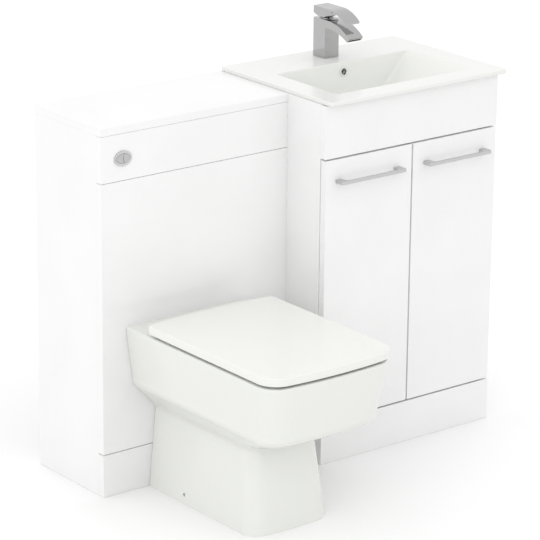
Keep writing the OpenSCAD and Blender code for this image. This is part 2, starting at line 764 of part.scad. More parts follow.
// The ring leans with the bowl's back wall
module overflow_ring() color("silver") placed()
  translate([basin_x + overflow_x, bowl_back - 3.9, overflow_z]) rotate([-8.5, 0, 0])
    difference() {
      union() {
        rod_y([0, -2, 0], 7, 8.3);
        rod_y([0, -2, 0], 1.9, 11.3);
      }
      rod_y([0, -5, 0], 20, 7.3);
    }

module waste_body() color("silver") placed() translate([basin_x, waste_y, 0]) {
  difference() {
    union() {
      translate([0, 0, bowl_floor - 1.5]) cylinder(h = 3, r = 32);
      translate([0, 0, bowl_floor - 85]) cylinder(h = 85, r = 21);
    }
    translate([0, 0, bowl_floor - 86]) cylinder(h = 90, r = 18.5);
    for (a = [0, 90]) rotate(a) block([-40, -6, bowl_floor - 8], [40, 6, bowl_floor - 4]);
  }
  difference() {
    translate([0, 0, bowl_floor - 50]) cylinder(h = 6, r = 18.6);
    translate([0, 0, bowl_floor - 51]) cylinder(h = 8, r = 4.05);
    for (a = [0:60:300]) rotate(a) translate([11.5, 0, bowl_floor - 51]) cylinder(h = 8, r = 4);
  }
}

module waste_nut() color("gray") placed() translate([basin_x, waste_y, bowl_floor - 26])
  difference() {
    union() {
      cylinder(h = 12, r = 30, $fn = 8);
      translate([0, 0, 11]) cylinder(h = 3, r = 27);
    }
    translate([0, 0, -1]) cylinder(h = 20, r = 21.1);
  }

module waste_plug() color("silver") placed() translate([basin_x, waste_y, 0]) {
  translate([0, 0, bowl_floor + 6]) rotate_extrude() intersection() {
    translate([0, -120]) circle(120, $fn = 180);
    translate([0, -4.2]) square([30, 10]);
  }
  translate([0, 0, bowl_floor - 62]) cylinder(h = 65, r = 4);
}

// Water goes down the dip tube into the cup, and rises round it to the outlet
module trap_body() color("whitesmoke") placed() translate([basin_x, waste_y, trap_z])
  difference() {
    union() {
      difference() {
        union() {
          translate([0, 0, 36]) cylinder(h = 34, r = 27);
          cylinder(h = 38, r = 32);
          rod_y([0, 0, 20], 52, 19.5);
        }
        translate([0, 0, -1]) cylinder(h = 33, r = 28);
      }
      translate([0, 0, -44]) cylinder(h = 80, r = 17);
    }
    translate([0, 0, -45]) cylinder(h = 90, r = 14.5);
    translate([0, 0, 40]) cylinder(h = 40, r = 21.1);
    rod_y([0, 22, 20], 40, 16.2);
  }

module trap_cup() color("whitesmoke") placed() translate([basin_x, waste_y, 0]) difference() {
  union() {
    translate([0, 0, trap_z - 60]) cylinder(h = 60, r = 31);
    translate([0, 0, trap_z - 66]) cylinder(h = 8, r1 = 24, r2 = 31);
    translate([0, 0, trap_z - 14]) cylinder(h = 14, r = 34);
  }
  translate([0, 0, trap_z - 57]) cylinder(h = 60, r = 27);
}

module trap_outlet() color("whitesmoke") placed() difference() {
  union() {
    rod_y([basin_x, waste_y + 24, trap_z + 20], 30, 15.6);
    rod_y([basin_x, waste_y + 52, trap_z + 20], -waste_y - 52, 16);
  }
  rod_y([basin_x, waste_y + 20, trap_z + 20], -waste_y, 13.5);
}

// --------------------------------------------------------------------- tap

// Side view of the body with its curved spout, in depth and height
module tap_side() {
  translate([tap_front, tap_z0]) square([tap_d, tap_z1 - tap_z0]);
  intersection() {
    difference() {
      translate([spout_y, tap_z1 - spout_r]) circle(spout_r, $fn = 180);
      translate([spout_y, tap_z1 - 17.5 - underside_r]) circle(underside_r, $fn = 180);
    }
    polygon([[tap_front + 1, tap_z1 + 5], [tap_front + 1, tap_z1 - 40],
      [tap_front - 78.5, tap_z1 - 38.5], [tap_front - 88.5, tap_z1 - 25.5],
      [tap_front - 88.5, tap_z1 + 5]]);
  }
}

// Mouth of the spout, a slot in its end face
module spout_mouth() translate([tap_x, tap_front - 81.5, tap_z1 - 34.5])
  rotate([38, 0, 0]) block([-17, -8, -1.8], [17, 14, 1.8]);

module tap_body() color("silver") placed() difference() {
  profile(tap_x - tap_w / 2, tap_w) tap_side();
  translate([tap_x, tap_y, tap_z1 - 41]) cylinder(h = 50, r = 17);
  for (s = [-1, 1]) translate([tap_x + s * 9, tap_y + 4, tap_z0 - 2]) cylinder(h = 16, r = 5);
  translate([tap_x, tap_y - 9, tap_z0 - 2]) cylinder(h = 20, r = 3.4);
  spout_mouth();
}

module tap_base() color("dimgray") placed() difference() {
  block([tap_x - tap_w / 2 + 1.5, tap_front + 1.5, basin_z1],
    [tap_x + tap_w / 2 - 1.5, tap_back - 1.5, tap_z0]);
  for (s = [-1, 1]) translate([tap_x + s * 9, tap_y + 4, basin_z1 - 2]) cylinder(h = 6, r = 6);
  translate([tap_x, tap_y - 9, basin_z1 - 2]) cylinder(h = 6, r = 3.4);
}

module tap_fixing() color("goldenrod") placed() {
  translate([tap_x, tap_y - 9, basin_z0 - 45]) cylinder(h = tap_z0 - basin_z0 + 62, r = 3.3);
  difference() {
    translate([tap_x, tap_y, basin_z0 - 6]) cylinder(h = 6, r = 24);
    translate([tap_x - 16, tap_y - 4, basin_z0 - 7]) cube([32, 40, 8]);
  }
  translate([tap_x, tap_y - 9, basin_z0 - 18]) cylinder(h = 12, r = 7, $fn = 6);
}

// Cartridge in the body, with the round cap that the lever slides over
module tap_cartridge() color("silver") placed() translate([tap_x, tap_y, 0]) difference() {
  union() {
    translate([0, 0, tap_z1 - 41]) cylinder(h = 41, r = 16.95);
    intersection() {
      translate([0, 0, ball_z]) sphere(ball_r, $fn = 96);
      translate([0, 0, tap_z1 - 1]) cylinder(h = 12, r = 16.95);
    }
  }
  translate([0, 0, tap_z1 - 34]) cylinder(h = 27, r = 10.05);
  translate([0, 0, tap_z1 - 8]) cylinder(h = 20, r = 13);
}

module tap_spindle() color("white") placed() translate([tap_x, tap_y, 0]) {
  difference() {
    translate([0, 0, tap_z1 - 33]) cylinder(h = 25, r = 10);
    block([-5.2, -11, ball_z - 13], [5.2, 11, tap_z1]);
    rod_x([-12, 0, ball_z], 24, 2);
  }
  rod_x([-9, 0, ball_z], 18, 2);
}

// Side view of the lever: a block under a thin plate that curves down
module lever_side() {
  polygon([[tap_back, tap_z1 + 27], [tap_back, tap_z1 + 10.6], [tap_back - 15.5, tap_z1 + 5.2],
    [tap_front + 4, tap_z1 + 5.2], [tap_front, tap_z1 + 8], [tap_front, tap_z1 + 27]]);
  translate([tap_front - 12, tap_z1 + 27 - lever_t]) square([tap_d + 12, lever_t]);
  intersection() {
    difference() {
      translate([tap_front - 12, tap_z1 + 27 - lever_r]) circle(lever_r, $fn = 180);
      translate([tap_front - 12, tap_z1 + 27 - lever_r]) circle(lever_r - lever_t, $fn = 180);
    }
    translate([tap_front - 73, tap_z1 - 10]) square([61, 60]);
  }
}

module tap_lever() color("silver") placed() {
  difference() {
    profile(tap_x - tap_w / 2, tap_w) lever_side();
    translate([tap_x, tap_y, ball_z]) sphere(ball_r + 1, $fn = 96);
    rod_y([tap_x, tap_front - 1, tap_z1 + 15], 5, 2);
  }
  difference() {
    translate([tap_x, tap_y, ball_z - 11]) cylinder(h = 40, r = 5);
    rod_x([tap_x - 12, tap_y, ball_z], 24, 2.06);
  }
}

wc_side_left();
wc_side_right();
wc_top_panel();
wc_flush_facia();
wc_access_panel();
wc_plinth();
wc_rails();
cistern_tank();
cistern_lid();
fill_valve();
fill_float();
flush_valve();
flush_valve_core();
flush_pipe();
flush_button_bezel();
flush_button_clip();
full_flush_button();
half_flush_button();
pan();
flush_cone();
pan_connector();
floor_brackets();
pan_side_screws();
seat();
seat_buffers();
lid();
lid_buffers();
seat_hinge_posts();
seat_hinge_pins();
vanity_side_left();
vanity_side_right();
vanity_base();
vanity_facia();
vanity_plinth();
vanity_rails();
unit_connectors();
door_left();
door_right();
door_buffers();
handle_left();
handle_right();
handle_screws_left();
handle_screws_right();
hinge_cups_left();
hinge_cups_right();
hinge_arms();
basin();
overflow_ring();
waste_body();
waste_nut();
waste_plug();
trap_body();
trap_cup();
trap_outlet();
tap_body();
tap_base();
tap_fixing();
tap_cartridge();
tap_spindle();
tap_lever();
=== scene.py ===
import bpy, bmesh, json, math
from mathutils import Matrix, Vector

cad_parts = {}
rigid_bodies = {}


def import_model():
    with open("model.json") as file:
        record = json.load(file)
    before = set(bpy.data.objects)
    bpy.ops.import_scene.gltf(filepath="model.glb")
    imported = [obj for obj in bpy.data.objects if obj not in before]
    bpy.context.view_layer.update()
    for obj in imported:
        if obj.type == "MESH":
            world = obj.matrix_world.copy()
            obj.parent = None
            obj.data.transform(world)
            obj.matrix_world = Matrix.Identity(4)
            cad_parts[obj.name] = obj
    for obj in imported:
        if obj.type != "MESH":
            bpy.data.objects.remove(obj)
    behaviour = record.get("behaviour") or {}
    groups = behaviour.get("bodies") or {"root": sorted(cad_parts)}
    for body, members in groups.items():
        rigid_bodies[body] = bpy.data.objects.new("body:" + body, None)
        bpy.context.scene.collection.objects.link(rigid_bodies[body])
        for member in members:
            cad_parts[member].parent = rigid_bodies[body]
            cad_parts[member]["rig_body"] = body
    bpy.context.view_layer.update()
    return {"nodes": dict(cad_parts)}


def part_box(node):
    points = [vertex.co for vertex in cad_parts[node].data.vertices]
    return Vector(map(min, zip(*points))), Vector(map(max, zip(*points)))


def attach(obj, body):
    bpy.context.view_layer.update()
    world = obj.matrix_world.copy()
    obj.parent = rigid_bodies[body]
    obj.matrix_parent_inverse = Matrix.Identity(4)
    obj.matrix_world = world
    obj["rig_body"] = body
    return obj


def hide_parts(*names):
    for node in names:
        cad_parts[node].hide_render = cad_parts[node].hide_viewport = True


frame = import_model()

# ---- Studio -----------------------------------------------------------------
# A long lens looks down from the left, as in the photograph, on furniture that
# stands on a white sweep, in soft light from all round with a lamp on the left.
camera_place = Vector((-3.87193, -4.73100, 2.46711))
camera_azimuth, camera_elevation, camera_roll = map(math.radians, (-38.1348, 18.1758, 0.57883))
photo_width, focal_length = 540, 2918.15
sensor_width = 36.0
sky_light, sky_seen = 1.12, 1.0
floor_half, floor_drop, floor_roughness = 40.0, 0.0002, 0.9
floor_tone, floor_bounce, floor_glow = 0.92, 0.85, 0.02


def camera_turn(azimuth, elevation, roll):
    back = Vector((math.sin(azimuth) * math.cos(elevation),
                   -math.cos(azimuth) * math.cos(elevation), math.sin(elevation)))
    right = Vector((math.cos(azimuth), math.sin(azimuth), 0))
    up = back.cross(right)
    across = right * math.cos(roll) + up * math.sin(roll)
    upward = up * math.cos(roll) - right * math.sin(roll)
    return Matrix((across, upward, back)).transposed().to_4x4()


def link(name, data):
    made = bpy.data.objects.new(name, data)
    bpy.context.scene.collection.objects.link(made)
    return made


lens = bpy.data.cameras.new("camera")
lens.sensor_width = sensor_width
lens.lens = focal_length / photo_width * sensor_width
lens.clip_end = 100.0
camera = link("camera", lens)
camera.matrix_world = (Matrix.Translation(camera_place)
                       @ camera_turn(camera_azimuth, camera_elevation, camera_roll))
bpy.context.scene.camera = camera
bpy.context.scene.view_settings.view_transform = "Standard"


def add_lamp(name, place, target, size, power):
    lamp = bpy.data.lights.new(name, "AREA")
    lamp.shape, lamp.size, lamp.energy = "DISK", size, power
    fitting = link(name, lamp)
    aim = (Vector(target) - Vector(place)).to_track_quat("-Z", "Y")
    fitting.matrix_world = Matrix.Translation(place) @ aim.to_matrix().to_4x4()


add_lamp("left_lamp", (-4.0, -2.4, 2.8), (0, 0, 0.4), 3.0, 28)


def seen_directly(tree):
    """One for what the camera, a polished surface or glass sees, otherwise zero."""
    path = tree.nodes.new("ShaderNodeLightPath")
    total = None
    for ray in ("Is Camera Ray", "Is Glossy Ray", "Is Transmission Ray"):
        if total is None:
            total = path.outputs[ray]
            continue
        higher = tree.nodes.new("ShaderNodeMath")
        higher.operation = "MAXIMUM"
        tree.links.new(total, higher.inputs[0])
        tree.links.new(path.outputs[ray], higher.inputs[1])
        total = higher.outputs[0]
    return total


world = bpy.data.worlds.new("white_sweep")
bpy.context.scene.world = world
world.use_nodes = True
air = world.node_tree
air.nodes.clear()
lit, shown = air.nodes.new("ShaderNodeBackground"), air.nodes.new("ShaderNodeBackground")
for backdrop, strength in ((lit, sky_light), (shown, sky_seen)):
    backdrop.inputs["Color"].default_value = (1, 1, 1, 1)
    backdrop.inputs["Strength"].default_value = strength
either = air.nodes.new("ShaderNodeMixShader")
air.links.new(seen_directly(air), either.inputs[0])
air.links.new(lit.outputs[0], either.inputs[1])
air.links.new(shown.outputs[0], either.inputs[2])
air.links.new(either.outputs[0], air.nodes.new("ShaderNodeOutputWorld").inputs[0])

floor_mesh = bpy.data.meshes.new("floor")
floor_mesh.from_pydata([(x * floor_half, y * floor_half, -floor_drop)
                        for x, y in ((-1, -1), (1, -1), (1, 1), (-1, 1))], [], [(0, 1, 2, 3)])
floor = link("floor", floor_mesh)
floor_paint = bpy.data.materials.new("floor_paint")
floor_paint.use_nodes = True
paint = floor_paint.node_tree
surface = paint.nodes["Principled BSDF"]
shade = paint.nodes.new("ShaderNodeMix")
shade.data_type = "RGBA"
for place, tone in (("A", floor_bounce), ("B", floor_tone)):
    shade.inputs[place].default_value = (tone, tone, tone, 1)
paint.links.new(seen_directly(paint), shade.inputs["Factor"])
paint.links.new(shade.outputs["Result"], surface.inputs["Base Color"])
surface.inputs["Roughness"].default_value = floor_roughness
surface.inputs["Specular IOR Level"].default_value = 0.0
glow = paint.nodes.new("ShaderNodeEmission")
brightness = paint.nodes.new("ShaderNodeMath")
brightness.operation = "MULTIPLY"
brightness.inputs[1].default_value = floor_glow
paint.links.new(seen_directly(paint), brightness.inputs[0])
paint.links.new(brightness.outputs[0], glow.inputs["Strength"])
both = paint.nodes.new("ShaderNodeAddShader")
paint.links.new(surface.outputs[0], both.inputs[0])
paint.links.new(glow.outputs[0], both.inputs[1])
paint.links.new(both.outputs[0], paint.nodes["Material Output"].inputs[0])
floor_mesh.materials.append(floor_paint)

# ---- Toilet cabinet ---------------------------------------------------------
# Boards of 18 mm with a gloss white foil on every face: two sides, a top, rails
# and a plinth, and the two front panels, of which the upper carries the button.
mm = 0.001
board_ease, seam_ease = 0.6 * mm, 0.25 * mm
weld_gap, flat_angle, edge_angle = 0.01 * mm, 0.6, 32


def unevenness_group():
    """Slow and fine variation over a surface, as a mask from 0 to 1."""
    group = bpy.data.node_groups.new("unevenness", "ShaderNodeTree")
    for socket, value in (("Scale", 40.0), ("Detail", 2.0), ("Stretch", (1, 1, 1)),
                          ("Low", 0.0), ("High", 1.0)):
        kind = "NodeSocketVector" if socket == "Stretch" else "NodeSocketFloat"
        group.interface.new_socket(socket, in_out="INPUT", socket_type=kind).default_value = value
    group.interface.new_socket("Value", in_out="OUTPUT", socket_type="NodeSocketFloat")
    given, put_out = group.nodes.new("NodeGroupInput"), group.nodes.new("NodeGroupOutput")
    place = group.nodes.new("ShaderNodeTexCoord")
    stretched = group.nodes.new("ShaderNodeVectorMath")
    stretched.operation = "MULTIPLY"
    noise = group.nodes.new("ShaderNodeTexNoise")
    ranged = group.nodes.new("ShaderNodeMapRange")
    ranged.inputs["From Min"].default_value, ranged.inputs["From Max"].default_value = 0.3, 0.7
    links = group.links
    links.new(place.outputs["Object"], stretched.inputs[0])
    links.new(given.outputs["Stretch"], stretched.inputs[1])
    links.new(stretched.outputs[0], noise.inputs["Vector"])
    links.new(given.outputs["Scale"], noise.inputs["Scale"])
    links.new(given.outputs["Detail"], noise.inputs["Detail"])
    links.new(noise.outputs["Fac"], ranged.inputs["Value"])
    links.new(given.outputs["Low"], ranged.inputs["To Min"])
    links.new(given.outputs["High"], ranged.inputs["To Max"])
    links.new(ranged.outputs["Result"], put_out.inputs["Value"])
    return group


unevenness = unevenness_group()


def varied(tree, scale, low, high, detail=2.0, stretch=(1, 1, 1)):
    """That unevenness between two values, placed in a material's tree."""
    made = tree.nodes.new("ShaderNodeGroup")
    made.node_tree = unevenness
    for socket, value in (("Scale", scale), ("Detail", detail), ("Stretch", stretch),
                          ("Low", low), ("High", high)):
        made.inputs[socket].default_value = value
    return made.outputs["Value"]


def finish_of(name, tone, roughness, tone_scale=6.0, tone_range=0.015, grain_scale=900.0,
              grain_depth=0.00001, rough_range=0.03, stretch=(1, 1, 1), **constants):
    """A material whose tone, gloss and surface vary a little from place to place."""
    made = bpy.data.materials.new(name)
    made.use_nodes = True
    tree = made.node_tree
    shader = tree.nodes["Principled BSDF"]
    for socket, value in constants.items():
        shader.inputs[socket.replace("_", " ")].default_value = value
    mix = tree.nodes.new("ShaderNodeMix")
    mix.data_type = "RGBA"
    mix.inputs["A"].default_value = (*[c * (1 - tone_range) for c in tone], 1)
    mix.inputs["B"].default_value = (*[min(1, c * (1 + tone_range)) for c in tone], 1)
    tree.links.new(varied(tree, tone_scale, 0, 1, 3.0, stretch), mix.inputs["Factor"])
    tree.links.new(mix.outputs["Result"], shader.inputs["Base Color"])
    tree.links.new(varied(tree, tone_scale * 3, roughness - rough_range, roughness + rough_range,
                          2.0, stretch), shader.inputs["Roughness"])
    bump = tree.nodes.new("ShaderNodeBump")
    bump.inputs["Strength"].default_value = 1.0
    bump.inputs["Distance"].default_value = grain_depth
    tree.links.new(varied(tree, grain_scale, 0, 1, 2.0, stretch), bump.inputs["Height"])
    tree.links.new(bump.outputs[0], shader.inputs["Normal"])
    return made


gloss_foil = finish_of("gloss_foil", (0.85, 0.85, 0.85), 0.07, grain_scale=350.0,
                       grain_depth=0.000004)


def settled(piece):
    """The piece's modifiers made part of its mesh."""
    graph = bpy.context.evaluated_depsgraph_get()
    mesh = bpy.data.meshes.new_from_object(piece.evaluated_get(graph))
    piece.modifiers.clear()
    piece.data = mesh
    return piece


def dress(piece, node, material, stands_for=True):
    """The piece takes the node's body and a slot, and may take the node's place."""
    piece.data.materials.clear()
    piece.data.materials.append(material)
    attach(piece, frame["nodes"][node]["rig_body"])
    if stands_for:
        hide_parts(node)
    return piece


def smoothed(piece, degrees=edge_angle):
    """Soft shading across small angles, in which broad flat faces stay flat."""
    piece.data.shade_smooth()
    piece.data.set_sharp_from_angle(angle=math.radians(degrees))
    even = piece.modifiers.new("even", "WEIGHTED_NORMAL")
    even.keep_sharp = True
    return settled(piece)


def welded(node, whole_faces=True):
    """A copy of a CAD node's mesh, its triangles joined and its flat faces whole."""
    mesh = frame["nodes"][node].data.copy()
    shape = bmesh.new()
    shape.from_mesh(mesh)
    bmesh.ops.remove_doubles(shape, verts=shape.verts, dist=weld_gap)
    if whole_faces:
        bmesh.ops.dissolve_limit(shape, angle_limit=math.radians(flat_angle),
                                 verts=shape.verts, edges=shape.edges)
    shape.to_mesh(mesh)
    shape.free()
    return mesh


def eased(node, material, radius, steps=2):
    """A copy of a CAD node with its edges broken by a small radius."""
    piece = link("shaped_" + node, welded(node))
    bevel = piece.modifiers.new("eased", "BEVEL")
    bevel.width, bevel.segments = radius, steps
    bevel.limit_method, bevel.angle_limit = "ANGLE", math.radians(edge_angle)
    return dress(smoothed(settled(piece)), node, material)


for board in ("wc_side_left", "wc_side_right", "wc_access_panel", "wc_plinth", "wc_rails"):
    eased(board, gloss_foil, board_ease)
for board in ("wc_top_panel", "wc_flush_facia"):
    eased(board, gloss_foil, seam_ease)

# ---- Cistern ----------------------------------------------------------------
# A blow-moulded plastic tank with its lid, the fill valve with its float, and the
# flush valve with its core, all hidden behind the panels.
pipe_plastic = finish_of("pipe_plastic", (0.80, 0.80, 0.79), 0.42, grain_depth=0.00003)
float_plastic = finish_of("float_plastic", (0.26, 0.34, 0.45), 0.4, grain_depth=0.00003)
for part in ("cistern_tank", "cistern_lid", "fill_valve", "flush_valve"):
    eased(part, pipe_plastic, 0.5 * mm)
for part in ("fill_float", "flush_valve_core"):
    eased(part, float_plastic, 0.5 * mm)

# ---- Flush pipe -------------------------------------------------------------
# A bent plastic tube from the flush valve to the pan, held under the tank by a
# nut with ribs round it for a hand to grip.
corner = Vector((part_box("wc_side_left")[0].x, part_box("wc_side_left")[1].y, 0))
pan_low, pan_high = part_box("pan")
pan_middle = (pan_low.x + pan_high.x) / 2 - corner.x
pan_x, flush_z, flush_y, flush_front = 230, 320, -98, -284
flush_r, flush_bore, flush_bend = 22, 20, 50
flush_nut_r, flush_nut_bore, flush_nut_z0, flush_nut_z1, flush_nut_end = 33, 28.2, 376, 404, 4


def sized_tree(name, sizes):
    """A tree that takes a shape, named sizes and a finish, and puts out a shape."""
    tree = bpy.data.node_groups.new(name, "GeometryNodeTree")
    kinds = {tuple: "NodeSocketVector", int: "NodeSocketInt", float: "NodeSocketFloat"}
    tree.interface.new_socket("Shape", in_out="INPUT", socket_type="NodeSocketGeometry")
    for size, value in sizes.items():
        tree.interface.new_socket(size, in_out="INPUT",
                                  socket_type=kinds[type(value)]).default_value = value
    tree.interface.new_socket("Finish", in_out="INPUT", socket_type="NodeSocketMaterial")
    tree.interface.new_socket("Shape", in_out="OUTPUT", socket_type="NodeSocketGeometry")
    return tree, tree.nodes.new("NodeGroupInput").outputs


def node_of(tree, kind, feeds=(), **settings):
    """A node with its settings, whose sockets take a value or another socket."""
    made = tree.nodes.new(kind)
    for setting, value in settings.items():
        setattr(made, setting, value)
    for socket, source in dict(feeds).items():
        if isinstance(source, bpy.types.NodeSocket):
            tree.links.new(source, made.inputs[socket])
        else:
            made.inputs[socket].default_value = source
    return made.outputs[0]


def worked(tree, operation, *values):
    """A sum, product or other result of numbers and sockets."""
    return node_of(tree, "ShaderNodeMath", enumerate(values), operation=operation)


def vector(tree, x=0.0, y=0.0, z=0.0):
    return node_of(tree, "ShaderNodeCombineXYZ", {0: x, 1: y, 2: z})


def moved(tree, shape, way):
    return node_of(tree, "GeometryNodeTransform", {"Geometry": shape, "Translation": way})


def joined_up(tree, operation, *shapes):
    """The first closed shape with the others added or cut away."""
    made = tree.nodes.new("GeometryNodeMeshBoolean")
    made.operation, made.solver = operation, "MANIFOLD"
    for index, shape in enumerate(shapes):
        first = index == 0 and operation == "DIFFERENCE"
        tree.links.new(shape, made.inputs["Mesh 1" if first else "Mesh 2"])
    return made.outputs[0]


def close_tree(tree, given, shape):
    """Every tree's end: real geometry with its finish set."""
    plain = node_of(tree, "GeometryNodeRealizeInstances", {"Geometry": shape})
    finished = node_of(tree, "GeometryNodeSetMaterial", {
        "Geometry": plain, "Material": given["Finish"]})
    tree.links.new(finished, tree.nodes.new("NodeGroupOutput").inputs["Shape"])
    return tree


def grown(piece, tree, finish, **sizes):
    """The piece as the tree makes it with these sizes, as a plain mesh."""
    grower = piece.modifiers.new("grower", "NODES")
    grower.node_group = tree
    sockets = {item.name: item.identifier for item in tree.interface.items_tree
               if item.in_out == "INPUT"}
    for size, value in sizes.items():
        grower[sockets[size.replace("_", " ")]] = value
    grower[sockets["Finish"]] = finish
    return smoothed(settled(piece))


def at(x, y, z):
    """A place, from millimetres off the furniture's left back corner."""
    return corner + Vector((x, y, z)) * mm


def points_of(name, points, edges=()):
    """Points in millimetres, with any edges between them."""
    mesh = bpy.data.meshes.new(name)
    mesh.from_pydata([at(*p) for p in points], edges, [])
    return link(name, mesh)


def path_of(name, points):
    """A line of edges through points in millimetres."""
    return points_of(name, points, [(i, i + 1) for i in range(len(points) - 1)])


def pipe_tree():
    """A pipe with an open bore that follows a line and bends at its corners."""
    tree, given = sized_tree("bent_pipe", {"Radius": 0.02, "Bore": 0.018, "Bend": 0.05,
                                           "Bend Steps": 16, "Round Steps": 64,
                                           "Overrun": 0.002})
    line = node_of(tree, "GeometryNodeMeshToCurve", {"Mesh": given["Shape"]})
    bent = node_of(tree, "GeometryNodeFilletCurve", {
        "Curve": line, "Radius": given["Bend"], "Count": given["Bend Steps"]}, mode="POLY")
    longer = bent
    for ends, way in (((1, 0), -1), ((0, 1), 1)):
        end = node_of(tree, "GeometryNodeCurveEndpointSelection", enumerate(ends))
        along = node_of(tree, "ShaderNodeVectorMath", {
            0: node_of(tree, "GeometryNodeInputTangent"),
            "Scale": worked(tree, "MULTIPLY", given["Overrun"], float(way))}, operation="SCALE")
        longer = node_of(tree, "GeometryNodeSetPosition", {
            "Geometry": longer, "Selection": end, "Offset": along})
    solids = []
    for route, radius in ((bent, "Radius"), (longer, "Bore")):
        ring = node_of(tree, "GeometryNodeCurvePrimitiveCircle", {
            "Resolution": given["Round Steps"], "Radius": given[radius]})
        solids.append(node_of(tree, "GeometryNodeCurveToMesh", {
            "Curve": route, "Profile Curve": ring, "Fill Caps": True}))
    return close_tree(tree, given, joined_up(tree, "DIFFERENCE", *solids))


def rib_tree():
    """Round ribs set evenly about an axis, added to a nut or a cup."""
    tree, given = sized_tree("grip_ribs", {"Count": 24, "Ring Radius": 0.03, "Rib Radius": 0.0015,
                                           "Rib Length": 0.01, "Middle": (0, 0, 0)})
    ring = node_of(tree, "GeometryNodeMeshCircle", {
        "Vertices": given["Count"], "Radius": given["Ring Radius"]})
    rib = node_of(tree, "GeometryNodeMeshCylinder", {
        "Vertices": 16, "Radius": given["Rib Radius"], "Depth": given["Rib Length"]})
    ribs = node_of(tree, "GeometryNodeRealizeInstances", {
        "Geometry": node_of(tree, "GeometryNodeInstanceOnPoints", {
            "Points": ring, "Instance": rib})})
    placed = moved(tree, ribs, given["Middle"])
    return close_tree(tree, given, joined_up(tree, "UNION", given["Shape"], placed))


bent_pipe, grip_ribs = pipe_tree(), rib_tree()


def combine(piece, operation, *tools):
    """The piece with each tool added to it or cut from it."""
    for tool in tools:
        step = piece.modifiers.new("step", "BOOLEAN")
        step.operation, step.object, step.solver = operation, tool, "MANIFOLD"
        settled(piece)
        bpy.data.objects.remove(tool)
    return piece


def solid_of(name, shape):
    mesh = bpy.data.meshes.new(name)
    shape.to_mesh(mesh)
    shape.free()
    return link(name, mesh)


def turned(name, profile, x, y, steps=96):
    """A ring turned about an upright axis from a closed profile of (radius, height)."""
    turns = [2 * math.pi * i / steps for i in range(steps)]
    shape = bmesh.new()
    rows = [[shape.verts.new(at(x + r * math.cos(a), y + r * math.sin(a), z)) for a in turns]
            for r, z in profile]
    for low, high in zip(rows, rows[1:] + rows[:1]):
        for i in range(steps):
            j = (i + 1) % steps
            shape.faces.new((low[i], low[j], high[j], high[i]))
    bmesh.ops.recalc_face_normals(shape, faces=shape.faces)
    return solid_of(name, shape)


flush_pipe = grown(path_of("flush_bend", ((pan_x, flush_y, flush_nut_z0 + 2),
                                          (pan_x, flush_y, flush_z),
                                          (pan_x, flush_front, flush_z))),
                   bent_pipe, pipe_plastic, Radius=flush_r * mm, Bore=flush_bore * mm,
                   Bend=flush_bend * mm)
flush_nut = turned("flush_nut", ((flush_bore, flush_nut_z0), (flush_nut_r, flush_nut_z0),
                                 (flush_nut_r, flush_nut_z1), (flush_nut_bore, flush_nut_z1),
                                 (flush_nut_bore, flush_nut_z0 + flush_nut_end),
                                 (flush_bore, flush_nut_z0 + flush_nut_end)), pan_x, flush_y)
grown(flush_nut, grip_ribs, pipe_plastic, Count=32, Ring_Radius=flush_nut_r * mm,
      Rib_Radius=0.9 * mm, Rib_Length=22 * mm,
      Middle=at(pan_x, flush_y, (flush_nut_z0 + flush_nut_z1) / 2))
dress(combine(flush_pipe, "UNION", flush_nut), "flush_pipe", pipe_plastic)

# ---- Flush button -----------------------------------------------------------
# An oval bezel of satin chrome on the facia round a pointed oval of two halves,
# in a housing that passes through the board and is held by a clip behind it.
plating = {"tone_scale": 60.0, "grain_scale": 2500.0, "Metallic": 1.0}
satin_chrome = finish_of("satin_chrome", (0.60, 0.60, 0.60), 0.28, **plating)
eased("flush_button_bezel", satin_chrome, 1.0 * mm, 4)
button_chrome = finish_of("button_chrome", (0.50, 0.50, 0.50), 0.22, **plating)
for half in ("full_flush_button", "half_flush_button"):
    eased(half, button_chrome, 0.5 * mm, 3)
eased("flush_button_clip", pipe_plastic, 0.5 * mm)

# ---- Pan --------------------------------------------------------------------
# Cast in vitreous china and glazed: a square-shouldered bowl on a waisted foot,
# hollow behind, with its trap running back to the outlet.
glazing = {"tone_scale": 3.0, "tone_range": 0.006, "grain_scale": 60.0, "grain_depth": 0.00004,
           "rough_range": 0.02, "IOR": 1.52}
glaze = finish_of("glaze", (0.775, 0.783, 0.75), 0.05, **glazing)
pan_reach = (corner.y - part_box("lid")[0].y) / mm
pan_half = (pan_high.x - pan_low.x) / 2 / mm
rim_z = pan_high.z / mm
pan_back = (pan_high.y - corner.y) / mm
pan_back_r, least_r, china = 4, 10, 12.0


def arc(x, y, radius, start, end, steps):
    angles = [math.radians(start + (end - start) * i / steps) for i in range(steps + 1)]
    return [(x + radius * math.cos(a), y + radius * math.sin(a)) for a in angles]


def d_outline(half, back, front, back_r, front_r, bow=6.0, back_bow=0.0, steps=14,
              back_steps=8, reach=0.85):
    """A D shape with round corners, whose front bows out by a shallow arc, as its back may."""
    lean, back_lean = math.radians(bow), math.radians(back_bow)
    front_arc = (half - front_r + front_r * math.sin(lean)) / math.sin(lean)
    y = front + front_r * math.cos(lean) + front_arc * (1 - math.cos(lean))
    back_y, back_edge = back - back_r, []
    if back_bow:
        back_arc = (half - back_r + back_r * math.sin(back_lean)) / math.sin(back_lean)
        back_y = back - back_r * math.cos(back_lean) - back_arc * (1 - math.cos(back_lean))
        back_edge = arc(0, back - back_arc, back_arc, 90 - back_bow * reach,
                        90 + back_bow * reach, steps)
    return (arc(half - back_r, back_y, back_r, 0, 90 - back_bow, back_steps) + back_edge
            + arc(back_r - half, back_y, back_r, 90 + back_bow, 180, back_steps)
            + arc(front_r - half, y, front_r, 180, 270 - bow, steps)
            + arc(0, front + front_arc, front_arc, 270 - bow * reach, 270 + bow * reach, steps)
            + arc(half - front_r, y, front_r, 270 + bow, 360, steps))


